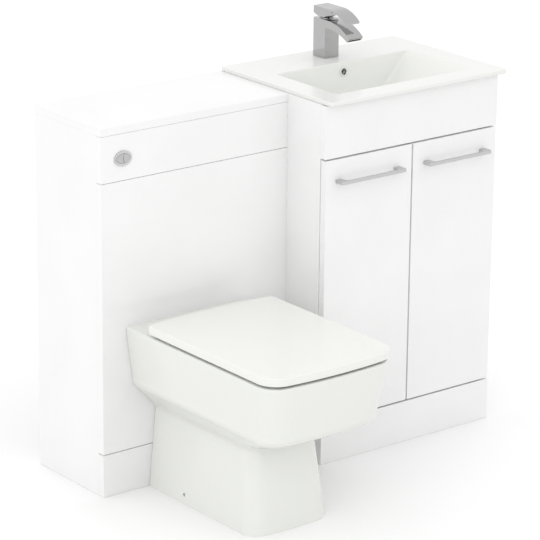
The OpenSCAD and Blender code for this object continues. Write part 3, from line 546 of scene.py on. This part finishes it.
def faired(rows, steps):
    """Rows between the given ones, on curves that never overshoot them."""
    far = [0.0]
    for a, b in zip(rows, rows[1:]):
        far.append(far[-1] + max(math.dist(a, b), 1e-6))
    slopes = []
    for column in range(len(rows[0])):
        rise = [(b[column] - a[column]) / (v - u) for a, b, u, v in
                zip(rows, rows[1:], far, far[1:])]
        inner = [0.0 if p * q <= 0 else 2 * p * q / (p + q) for p, q in zip(rise, rise[1:])]
        slopes.append([rise[0], *inner, rise[-1]])
    made = []
    for k in range(len(rows) - 1):
        span = far[k + 1] - far[k]
        for i in range(steps if k < len(rows) - 2 else steps + 1):
            t = i / steps
            row = []
            for column, slope in enumerate(slopes):
                a, b = rows[k][column], rows[k + 1][column]
                row.append(a * (2 * t ** 3 - 3 * t ** 2 + 1) + b * (3 * t ** 2 - 2 * t ** 3)
                           + span * (slope[k] * (t ** 3 - 2 * t ** 2 + t)
                                     + slope[k + 1] * (t ** 3 - t ** 2)))
            made.append(row)
    return made


def skin(name, rings, middle):
    """A closed solid through rings of (x, y, z) in millimetres, lowest ring first."""
    shape = bmesh.new()
    rows = [[shape.verts.new(corner + Vector((middle + x * mm, y * mm, z * mm)))
             for x, y, z in ring] for ring in rings]
    for low, high in zip(rows, rows[1:]):
        for i in range(len(low)):
            j = (i + 1) % len(low)
            shape.faces.new((low[i], low[j], high[j], high[i]))
    shape.faces.new(rows[0][::-1])
    shape.faces.new(rows[-1])
    bmesh.ops.remove_doubles(shape, verts=shape.verts, dist=1e-7)
    bmesh.ops.recalc_face_normals(shape, faces=shape.faces)
    return solid_of(name, shape)


def level(outline, z):
    return [(x, y, z) for x, y in outline]


def rod(name, start, end, radius, middle, steps=96):
    """A round bar between two points in millimetres."""
    start, end = Vector(start), Vector(end)
    along = (end - start).normalized()
    side = along.orthogonal().normalized()
    other = along.cross(side)
    turns = [2 * math.pi * i / steps for i in range(steps)]
    rings = [[tuple(p + radius * (side * math.cos(a) + other * math.sin(a))) for a in turns]
             for p in (start, end)]
    return skin(name, rings, middle)


def ball(name, place, radius, middle):
    shape = bmesh.new()
    bmesh.ops.create_uvsphere(shape, u_segments=96, v_segments=48, radius=radius * mm)
    bmesh.ops.translate(shape, verts=shape.verts,
                        vec=corner + Vector((middle, 0, 0)) + Vector(place) * mm)
    return solid_of(name, shape)


# Each station of the outside: height, how far its side and its front stand
# back from the rim's, and the radius of its corners
pan_stations = [(0, 61, 139, 40), (172, 76, 162, 38), (182, 77, 164, 37), (190, 74, 158, 38),
                (200, 66, 140, 40), (238, 29, 45, 46), (247, 21, 26, 48), (257, 17, 19, 50),
                (270, 15.5, 16, 52), (374, 1, 1.5, 52), (380, 0.5, 1, 52), (383, 2, 2.5, 51),
                (384, 4.5, 5, 50)]
# Each station of the bowl: height, half width, back and front
bowl_stations = [(118, 26, -468, -520), (130, 36, -458, -534), (160, 44, -452, -548),
                 (205, 62, -440, -598), (250, 92, -424, -662), (300, 112, -412, -704),
                 (345, 120, -405, -718), (366, 120, -404, -720), (374, 114, -410, -714),
                 (390, 112, -412, -712)]
soil_z, soil_r, soil_bore, trap_r, trap_bore = 185, 51, 43, 47, 39
horn_r, cone_r, post_hole_r, side_screw_r, side_head_r = 34, 27.5, 7, 3, 4.2
spigot_y0, spigot_y1, horn_y0, cone_y0, bend_over = -308, -262, -430, -286, 0.7
bowl_back_round, bowl_front_round, bowl_bow = 0.6, 0.92, 3
trap_path = [(0, -486, 150), (0, -432, 202), (0, -372, 214), (0, -318, soil_z), (0, -280, soil_z)]
foot_x, foot_y, foot_z = 100, -378, 20
hinge_y, hinge_pitch = -314, 155


def pan_solid(name, stations, inset, back):
    return skin(name, [level(d_outline(pan_half - side - inset, back,
                                       front + inset - pan_reach + 1, pan_back_r,
                                       max(radius - inset, least_r)), z)
                       for z, side, front, radius in stations], pan_middle)


def bowl_solid(name, stations, grow):
    return skin(name, [level(d_outline(half + grow, back + grow, front - grow,
                                       (half + grow) * bowl_back_round,
                                       (half + grow) * bowl_front_round, bowl_bow), z)
                       for z, half, back, front in stations], pan_middle)


def trap_tube(radius):
    pieces = [rod("tube", a, b, radius, pan_middle) for a, b in zip(trap_path, trap_path[1:])]
    return pieces + [ball("bend", p, radius + bend_over, pan_middle) for p in trap_path[1:-1]]


pan = pan_solid("pan_of_china", faired(pan_stations, 5), 0, pan_back)
hollow = [(-1, 61, 139, 40)] + pan_stations[1:9] + [(rim_z - china - 2, 3, 3, 50)]
combine(pan, "DIFFERENCE", pan_solid("hollow", hollow, china, pan_back + 40))
inner = bowl_solid("inner", faired(bowl_stations[:9], 4), china - 2)
combine(inner, "UNION", *trap_tube(trap_r),
        rod("spigot", (0, spigot_y0, soil_z), (0, spigot_y1, soil_z), soil_r, pan_middle),
        rod("horn", (0, horn_y0, flush_z), (0, spigot_y1, flush_z), horn_r, pan_middle))
combine(pan, "UNION", inner)
combine(pan, "DIFFERENCE", bowl_solid("bowl", faired(bowl_stations, 4), 0),
        *trap_tube(trap_bore),
        rod("bore", (0, spigot_y0 - 4, soil_z), (0, spigot_y1 + 12, soil_z), soil_bore,
            pan_middle),
        rod("inlet", (0, horn_y0 + 5, flush_z), (0, spigot_y1 + 17, flush_z), flush_bore,
            pan_middle),
        rod("cone_seat", (0, cone_y0, flush_z), (0, spigot_y1 + 6, flush_z), cone_r, pan_middle))
for side in (-1, 1):
    combine(pan, "DIFFERENCE",
            rod("post_hole", (side * hinge_pitch / 2, hinge_y, rim_z - 30),
                (side * hinge_pitch / 2, hinge_y, rim_z + 10), post_hole_r, pan_middle),
            rod("screw_hole", (side * (foot_x - 20), foot_y, foot_z),
                (side * (foot_x + 20), foot_y, foot_z), side_screw_r, pan_middle),
            rod("screw_recess", (side * foot_x, foot_y, foot_z),
                (side * (foot_x + 30), foot_y, foot_z), side_head_r, pan_middle))
dress(smoothed(pan, degrees=30), "pan", glaze)

# ---- Pan connections --------------------------------------------------------
# The rubber cone on the flush pipe, the connector to the soil pipe, and the
# brackets and recessed screws that hold the pan to the floor.
seal_rubber = finish_of("seal_rubber", (0.02, 0.02, 0.02), 0.6, grain_depth=0.00003)
hinge_steel = finish_of("hinge_steel", (0.60, 0.60, 0.62), 0.3, tone_scale=120.0, Metallic=1.0)
screw_steel = finish_of("screw_steel", (0.42, 0.42, 0.44), 0.35, tone_scale=200.0, Metallic=1.0)


def screw_tree():
    """Domed cross-head screws, one at each point of the shape, all facing one way."""
    tree, given = sized_tree("cross_head_screws", {
        "Head Radius": 0.004, "Head Height": 0.0015, "Shank Radius": 0.002,
        "Shank Length": 0.015, "Slot": 0.0008, "Facing": (0, 0, 1)})
    deep = worked(tree, "MULTIPLY", given["Head Height"], 2.0)
    wide = worked(tree, "MULTIPLY", given["Head Radius"], 1.1)
    flat = worked(tree, "DIVIDE", given["Head Height"], given["Head Radius"])
    dome = node_of(tree, "GeometryNodeTransform", {
        "Geometry": node_of(tree, "GeometryNodeMeshUVSphere", {
            "Segments": 32, "Rings": 16, "Radius": given["Head Radius"]}),
        "Scale": vector(tree, 1.0, 1.0, flat)})
    broad = worked(tree, "MULTIPLY", given["Head Radius"], 3.0)
    cuts = [moved(tree, node_of(tree, "GeometryNodeMeshCube",
                                {"Size": vector(tree, broad, broad, deep)}),
                  vector(tree, z=worked(tree, "MULTIPLY", given["Head Height"], -1.0)))]
    for across, along in ((wide, given["Slot"]), (given["Slot"], wide)):
        slot = node_of(tree, "GeometryNodeMeshCube", {
            "Size": vector(tree, across, along, given["Head Height"])})
        cuts.append(moved(tree, slot, vector(tree, z=given["Head Height"])))
    head = joined_up(tree, "DIFFERENCE", dome, *cuts)
    shank = moved(tree, node_of(tree, "GeometryNodeMeshCylinder", {
        "Vertices": 32, "Radius": given["Shank Radius"], "Depth": given["Shank Length"]}),
        vector(tree, z=worked(tree, "MULTIPLY_ADD", given["Shank Length"], -0.5, 0.0002)))
    turn = node_of(tree, "FunctionNodeAlignRotationToVector", {"Vector": given["Facing"]},
                   axis="Z")
    screws = node_of(tree, "GeometryNodeInstanceOnPoints", {
        "Points": given["Shape"], "Instance": joined_up(tree, "UNION", head, shank),
        "Rotation": turn})
    return close_tree(tree, given, screws)


cross_head_screws = screw_tree()
eased("flush_cone", seal_rubber, 0.5 * mm)
eased("pan_connector", pipe_plastic, 0.8 * mm)
eased("floor_brackets", pipe_plastic, 0.5 * mm)
foot_screws = [grown(points_of("foot_screw", ((pan_x + side * foot_x, foot_y, foot_z),)),
                     cross_head_screws, screw_steel, Head_Radius=3.9 * mm, Head_Height=2.4 * mm,
                     Shank_Radius=2.5 * mm, Shank_Length=22 * mm, Facing=(side, 0, 0))
               for side in (-1, 1)]
dress(combine(foot_screws[0], "UNION", foot_screws[1]), "pan_side_screws",
      screw_steel)

# ---- Seat -------------------------------------------------------------------
# A flat ring moulded in heavy white plastic, rounded at its inner edge, on small
# rubber buffers, with two knuckles that turn on the hinge pins.
seat_plastic = finish_of("seat_plastic", (0.81, 0.817, 0.785), 0.10, tone_scale=4.0,
                         tone_range=0.006, grain_scale=500.0, rough_range=0.02)
buffer_rubber = finish_of("buffer_rubber", (0.7, 0.7, 0.7), 0.5)
hinge_z, knuckle_r, knuckle_w, knuckle_step = 394, 8, 10, 14.5
pin_bore_r, pin_bore_reach = 4.08, 200
seat_z0 = rim_z + 4
seat_z1 = seat_z0 + 13.5
seat_back, seat_front, seat_inset, seat_back_r, seat_front_r = -334, 10 - pan_reach, 9, 12, 44
hole_half, hole_back, hole_front, hole_back_r, hole_front_r = 98, -420, -696, 66, 92


def edged(name, rows, half, back, front, back_r, front_r, back_bow=0.0):
    """A solid with one outline, drawn in at each (height, inset) of its rows."""
    return skin(name, [level(d_outline(half - inset, back - inset, front + inset,
                                       max(back_r - inset, 1), front_r - inset,
                                       back_bow=back_bow), z) for z, inset in rows], pan_middle)


def rounding(z, radius, steps=6):
    """Rows that round an upper edge over to its flat top at height z."""
    angles = [math.pi / 2 * i / steps for i in range(steps + 1)]
    return [(z - radius + radius * math.sin(a), radius - radius * math.cos(a)) for a in angles]


def block(name, low, high, middle=pan_middle):
    """A box between two corners in millimetres from a middle line."""
    (x0, y0, z0), (x1, y1, z1) = low, high
    rings = [[(x0, y0, z), (x1, y0, z), (x1, y1, z), (x0, y1, z)] for z in (z0, z1)]
    return skin(name, rings, middle)


def knuckle(x, y, z0, z1):
    """One knuckle of the hinge with the web that runs forward from it."""
    return [rod("knuckle", (x - knuckle_w / 2, hinge_y, hinge_z),
                (x + knuckle_w / 2, hinge_y, hinge_z), knuckle_r, pan_middle),
            block("web", (x - knuckle_w / 2, y, z0), (x + knuckle_w / 2, hinge_y, z1))]


def pin_bore():
    return rod("pin_bore", (-pin_bore_reach, hinge_y, hinge_z),
               (pin_bore_reach, hinge_y, hinge_z), pin_bore_r, pan_middle)


seat = edged("seat_ring", faired([(seat_z0, 3), (seat_z0 + 3, 0), (seat_z1 - 4.5, 0),
                                  (seat_z1 - 1.5, 1.5), (seat_z1, 4)], 4),
             pan_half - seat_inset, seat_back, seat_front, seat_back_r, seat_front_r)
combine(seat, "DIFFERENCE", skin("seat_hole", [
    level(d_outline(hole_half + out, hole_back + out, hole_front - out, hole_back_r,
                    hole_front_r, 3), z)
    for z, out in faired([(seat_z0 - 1, 3), (seat_z0 + 5, 0), (seat_z1 - 6, 0), (seat_z1 - 2, 3),
                          (seat_z1 + 1, 9)], 4)], pan_middle))
for side in (-1, 1):
    combine(seat, "UNION", *knuckle(side * (hinge_pitch / 2 - knuckle_step), seat_back - 10,
                                    hinge_z - 5, hinge_z + 5))
dress(smoothed(combine(seat, "DIFFERENCE", pin_bore())), "seat", seat_plastic)
eased("seat_buffers", buffer_rubber, 0.8 * mm)

# ---- Lid --------------------------------------------------------------------
# Moulded in the same plastic, flat on top with a shallow skirt that hides the
# seat and leans in a little below, stiff at the back where its knuckles stand.
lid_z0 = rim_z + 6
lid_z1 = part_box("lid")[1].z / mm
lid_back, lid_bow, lid_back_r, lid_front_r = -318, 6.5, 12, 50
lid_plate, lid_wall = 5, 4.5
lid = edged("lid_cap", [(lid_z0, 2.9), (lid_z0 + 0.3, 2.3), (lid_z0 + 0.9, 2.0),
                        (lid_z0 + 5, 0.8), (lid_z1 - 4, 0)] + rounding(lid_z1, 1.7),
            pan_half, lid_back, -pan_reach, lid_back_r, lid_front_r, lid_bow)
combine(lid, "DIFFERENCE",
        edged("lid_hollow", [(lid_z0 - 1, 1.2), (lid_z1 - lid_plate - 4, 0),
                             (lid_z1 - lid_plate, 4)],
              pan_half - lid_wall, lid_back + 20, lid_wall - pan_reach, 4, 46))
for side in (-1, 1):
    outer_x = side * (hinge_pitch / 2 + knuckle_step)
    combine(lid, "UNION", *knuckle(outer_x, lid_back - 12, hinge_z, hinge_z + knuckle_r),
            block("gusset", (outer_x - knuckle_w / 2, lid_back - 12, hinge_z),
                  (outer_x + knuckle_w / 2, lid_back + 1, lid_z1 - 3)))
dress(smoothed(combine(lid, "DIFFERENCE", pin_bore())), "lid", seat_plastic)
eased("lid_buffers", buffer_rubber, 0.8 * mm)

# ---- Seat hinges ------------------------------------------------------------
# Two chromed posts stand in the pan on round plates, with a steel pin through
# each that the knuckles of the seat and the lid turn on.
tap_chrome = finish_of("tap_chrome", (0.46, 0.46, 0.46), 0.12, tone_scale=40.0,
                       grain_scale=1500.0, Metallic=1.0)
eased("seat_hinge_posts", tap_chrome, 0.5 * mm)
eased("seat_hinge_pins", tap_chrome, 0.3 * mm)

# ---- Basin cabinet ----------------------------------------------------------
# The same boards, deeper, with an open back for the pipes, a band above the
# doors and a plinth below, bolted to the toilet cabinet by two connectors.
for board in ("vanity_side_left", "vanity_side_right", "vanity_base", "vanity_facia",
              "vanity_plinth", "vanity_rails"):
    eased(board, gloss_foil, board_ease)
eased("unit_connectors", hinge_steel, 0.5 * mm)

# ---- Doors ------------------------------------------------------------------
# Two plain gloss doors between the band and the plinth, drilled for the hinge
# cups and the handle screws, closing on small pale buffers.
for door in ("door_left", "door_right"):
    eased(door, gloss_foil, board_ease)
eased("door_buffers", buffer_rubber, 0.2 * mm)

# ---- Door hinges ------------------------------------------------------------
# Concealed hinges of pressed steel, their cups let into the doors and their
# arms on the cabinet's sides, each held by two domed screws.
cup_x, arm_screw_y, hinge_screw_gap = 24.5, -328, 22.5
hinge_heights = (192, 620)
vanity_x0, vanity_x1 = [(end.x - corner.x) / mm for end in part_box("vanity_facia")]
door_inside = (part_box("door_left")[1].y - corner.y) / mm
flange_screw, arm_screw, plate_x = 9.5, 16, 21
small_screw = {"Head_Radius": 3.7 * mm, "Head_Height": 1.8 * mm, "Shank_Radius": 1.6 * mm,
               "Shank_Length": 9 * mm}
for side, x, way in (("left", vanity_x0 + cup_x, 1), ("right", vanity_x1 - cup_x, -1)):
    cups = "hinge_cups_" + side
    eased(cups, hinge_steel, 0.3 * mm)
    screws = grown(points_of("hinge_screws_" + side,
                             [(x + way * flange_screw, door_inside + 1, z + k * hinge_screw_gap)
                              for z in hinge_heights for k in (-1, 1)]),
                   cross_head_screws, screw_steel, Facing=(0, 1, 0), **small_screw)
    dress(screws, cups, screw_steel, stands_for=False)
eased("hinge_arms", hinge_steel, 0.3 * mm)
for side, x, way in (("left", vanity_x0 + plate_x, 1), ("right", vanity_x1 - plate_x, -1)):
    screws = grown(points_of("plate_screws_" + side,
                             [(x, arm_screw_y, z + k * arm_screw)
                              for z in hinge_heights for k in (-1, 1)]),
                   cross_head_screws, screw_steel, Facing=(way, 0, 0), **small_screw)
    dress(screws, "hinge_arms", screw_steel, stands_for=False)

# ---- Handles ----------------------------------------------------------------
# Slim bow handles of satin nickel, a flat bar on two feet that flare into it,
# each held by two screws through the door.
handle_nickel = finish_of("handle_nickel", (0.56, 0.56, 0.56), 0.30, tone_scale=60.0,
                          grain_scale=1800.0, stretch=(0.05, 1, 1), Metallic=1.0)
handle_bar, handle_foot, handle_pitch, outer_round, inner_round = 6, 17, 160, 3, 9


def handle_tree():
    """A bow: a bar and its two feet in one, left from a rounded block."""
    tree, given = sized_tree("bow_handle", {
        "Length": 0.18, "Reach": 0.025, "Height": 0.008, "Bar": 0.006, "Foot": 0.017,
        "Outer Round": 0.003, "Inner Round": 0.009, "Middle": (0, 0, 0)})
    half = worked(tree, "MULTIPLY", given["Height"], 0.5)
    solids = []
    for longer, less, radius in ((1.0, (None, None), "Outer Round"),
                                 (1.2, ("Foot", "Bar"), "Inner Round")):
        sizes = []
        for whole, part in (("Length", less[0]), ("Reach", less[1])):
            size = worked(tree, "MULTIPLY", given[whole], 1.0 if whole == "Length" else 2.0)
            if part:
                size = worked(tree, "MULTIPLY_ADD", given[part], -2.0, size)
            sizes.append(size)
        shape = node_of(tree, "GeometryNodeCurvePrimitiveQuadrilateral", {
            "Width": sizes[0], "Height": sizes[1]})
        shape = node_of(tree, "GeometryNodeFilletCurve", {
            "Curve": shape, "Count": 12, "Radius": given[radius]}, mode="POLY")
        line = node_of(tree, "GeometryNodeCurvePrimitiveLine", {
            "Start": vector(tree, z=worked(tree, "MULTIPLY", half, -longer)),
            "End": vector(tree, z=worked(tree, "MULTIPLY", half, longer))})
        solids.append(node_of(tree, "GeometryNodeCurveToMesh", {
            "Curve": line, "Profile Curve": shape, "Fill Caps": True}))
    side = worked(tree, "MULTIPLY", given["Length"], 2.0)
    behind = moved(tree, node_of(tree, "GeometryNodeMeshCube",
                                 {"Size": vector(tree, side, side, side)}),
                   vector(tree, y=given["Length"]))
    bow = joined_up(tree, "DIFFERENCE", *solids, behind)
    return close_tree(tree, given, moved(tree, bow, given["Middle"]))


bow_handle = handle_tree()
for side in ("left", "right"):
    low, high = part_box("handle_" + side)
    middle = Vector(((low.x + high.x) / 2, high.y, (low.z + high.z) / 2))
    bow = grown(link("bow_" + side, bpy.data.meshes.new("bow_" + side)), bow_handle,
                handle_nickel, Length=high.x - low.x, Reach=high.y - low.y,
                Height=high.z - low.z, Bar=handle_bar * mm, Foot=handle_foot * mm,
                Outer_Round=outer_round * mm, Inner_Round=inner_round * mm, Middle=middle)
    edges = bow.modifiers.new("eased", "BEVEL")
    edges.width, edges.segments, edges.limit_method = 1.0 * mm, 3, "ANGLE"
    dress(smoothed(settled(bow)), "handle_" + side, handle_nickel)
    middle_x = (middle.x - corner.x) / mm
    handle_z = middle.z / mm
    screws = grown(points_of("door_screws_" + side,
                             [(middle_x + k * handle_pitch / 2, door_inside, handle_z)
                              for k in (-1, 1)]),
                   cross_head_screws, screw_steel, Head_Radius=4 * mm, Head_Height=1.95 * mm,
                   Shank_Radius=1.95 * mm, Shank_Length=28.9 * mm, Facing=(0, 1, 0))
    dress(screws, "handle_screws_" + side, screw_steel)

# ---- Basin ------------------------------------------------------------------
# A ceramic top with a thin rim and one bowl whose left and right ends slope, with
# a channel behind the bowl that leads the overflow down to the waste.
basin_low, basin_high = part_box("basin")
basin_middle = (basin_low.x + basin_high.x) / 2 - corner.x
basin_half = (basin_high.x - basin_low.x) / 2 / mm
basin_d = (corner.y - basin_low.y) / mm
basin_z1 = basin_high.z / mm
basin_z0 = basin_z1 - 10
bowl_floor = basin_z1 - 102
bowl_half, bowl_back, bowl_front = 198.5, -127, -346
waste_y, tap_y, overflow_x, overflow_z = -235, -61, -4, 822.6
waste_hole_r, waste_seat_r, tap_hole_r, overflow_r = 23, 32.5, 17.5, 9
channel_half, way_half = 20, 12
# Each station of the bowl: height, how far its sides, back and front stand in
# from the opening, and the radius of its corners
basin_stations = [(bowl_floor, 122, 40, 58, 24), (bowl_floor + 3, 110, 28, 46, 24),
                  (bowl_floor + 10, 100, 18, 36, 20), (bowl_floor + 33, 78, 10.8, 24.5, 13),
                  (bowl_floor + 51.5, 59.8, 7.8, 17.7, 11), (bowl_floor + 70, 41.5, 5, 11.2, 10),
                  (basin_z1 - 16, 24.7, 2.6, 5.6, 9), (basin_z1 - 10, 17.5, 1.7, 3.5, 8),
                  (basin_z1 - 5, 10.5, 1, 1.8, 8), (basin_z1 - 2, 4.5, 0.5, 0.8, 8),
                  (basin_z1 - 0.6, 1.5, 0.1, 0.2, 8), (basin_z1, 0, -0.5, -0.5, 8)]


def basin_bowl(name, stations, grow):
    return skin(name, [level(d_outline(bowl_half - side + grow, bowl_back - back + grow,
                                       bowl_front + front - grow, radius + grow, radius + grow,
                                       1), z)
                       for z, side, back, front, radius in stations], basin_middle)


basin_rows = [(basin_z0, 2), (basin_z0 + 0.3, 1.2), (basin_z0 + 1, 0.6), (basin_z0 + 2.5, 0),
              (basin_z1 - 3, 0)] + rounding(basin_z1, 1.5)
basin = skin("basin_top", [level(d_outline(basin_half - inset, -inset * 0.5, inset - basin_d, 4,
                                           5, 0.5), z) for z, inset in basin_rows], basin_middle)
shell = [(bowl_floor - 12, *basin_stations[1][1:]), *basin_stations[2:7],
         (basin_z0 + 5, *basin_stations[6][1:])]
combine(basin, "UNION", basin_bowl("bowl_shell", faired(shell, 4), 10),
        block("overflow_channel", (overflow_x - channel_half, bowl_back - 45, bowl_floor - 12),
              (overflow_x + channel_half, bowl_back + 24, basin_z0 + 5), basin_middle),
        block("lower_channel", (overflow_x - channel_half, waste_y, bowl_floor - 12),
              (overflow_x + channel_half, bowl_back - 30, bowl_floor - 1), basin_middle))
water_side = faired(basin_stations, 4)
water_side.append([basin_z1 + 2, *water_side[-1][1:]])
combine(basin, "DIFFERENCE", basin_bowl("bowl_water", water_side, 0),
        rod("waste_hole", (0, waste_y, bowl_floor - 20), (0, waste_y, bowl_floor + 20),
            waste_hole_r, basin_middle),
        rod("waste_seat", (0, waste_y, bowl_floor - 1.5), (0, waste_y, bowl_floor + 8.5),
            waste_seat_r, basin_middle),
        rod("tap_hole", (0, tap_y, basin_z0 - 1), (0, tap_y, basin_z1 + 9), tap_hole_r,
            basin_middle),
        rod("overflow_hole", (overflow_x, bowl_back - 20, overflow_z),
            (overflow_x, bowl_back + 12, overflow_z), overflow_r, basin_middle),
        block("upright_way", (overflow_x - way_half, bowl_back + 8, bowl_floor - 8),
              (overflow_x + way_half, bowl_back + 18, overflow_z + 8), basin_middle),
        block("level_way", (overflow_x - way_half, waste_y + 10, bowl_floor - 8),
              (overflow_x + way_half, bowl_back + 12, bowl_floor - 4), basin_middle))
basin_glaze = finish_of("basin_glaze", (0.80, 0.807, 0.78), 0.18, **glazing)
dress(smoothed(basin, degrees=24), "basin", basin_glaze)

# ---- Overflow and waste -----------------------------------------------------
# A plated ring in the overflow's mouth, and a slotted waste of plated brass with
# a sprung domed plug, held under the bowl by an eight-sided plastic nut.
bright_plate = finish_of("bright_plate", (0.90, 0.90, 0.90), 0.16, tone_scale=80.0,
                         grain_scale=1500.0, Metallic=1.0)
eased("overflow_ring", bright_plate, 0.4 * mm, 3)
for part in ("waste_body", "waste_plug"):
    eased(part, bright_plate, 0.4 * mm)
eased("waste_nut", pipe_plastic, 0.5 * mm)

# ---- Bottle trap ------------------------------------------------------------
# White plastic: a body that screws to the waste, a cup with a ribbed collar that
# unscrews for cleaning, and the pipe that leads back to the wall.
trap_x, trap_z, outlet_z = basin_middle / mm, 600, 620
cup_collar_r, cup_collar_z, outlet_r, outlet_bore = 34, -7, 16, 13.5
eased("trap_body", pipe_plastic, 0.5 * mm)
ribbed_cup = grown(link("ribbed_cup", welded("trap_cup", whole_faces=False)), grip_ribs,
                   pipe_plastic, Count=30, Ring_Radius=cup_collar_r * mm,
                   Rib_Radius=1.1 * mm, Rib_Length=11 * mm,
                   Middle=at(trap_x, waste_y, trap_z + cup_collar_z))
dress(ribbed_cup, "trap_cup", pipe_plastic)
outlet = path_of("trap_outlet_pipe", ((trap_x, waste_y + 24, outlet_z), (trap_x, 0, outlet_z)))
dress(grown(outlet, bent_pipe, pipe_plastic, Radius=outlet_r * mm, Bore=outlet_bore * mm,
            Bend=0.0), "trap_outlet", pipe_plastic)

# ---- Tap --------------------------------------------------------------------
# A cast and plated body with a curved slab spout, held from below by a brass
# stud, with a ceramic cartridge under its round cap.
stud_brass = finish_of("stud_brass", (0.60, 0.42, 0.16), 0.3, Metallic=1.0)
eased("tap_body", tap_chrome, 0.8 * mm, 3)
eased("tap_cartridge", tap_chrome, 0.4 * mm)
eased("tap_base", pipe_plastic, 0.1 * mm)
eased("tap_spindle", float_plastic, 0.3 * mm)
eased("tap_fixing", stud_brass, 0.4 * mm)

# ---- Tap lever --------------------------------------------------------------
# Cast and plated like the body: a block that caps it, and a thin curved plate that
# reaches forward over the spout. It tilts for the flow and turns for the warmth.
eased("tap_lever", tap_chrome, 0.8 * mm, 3)
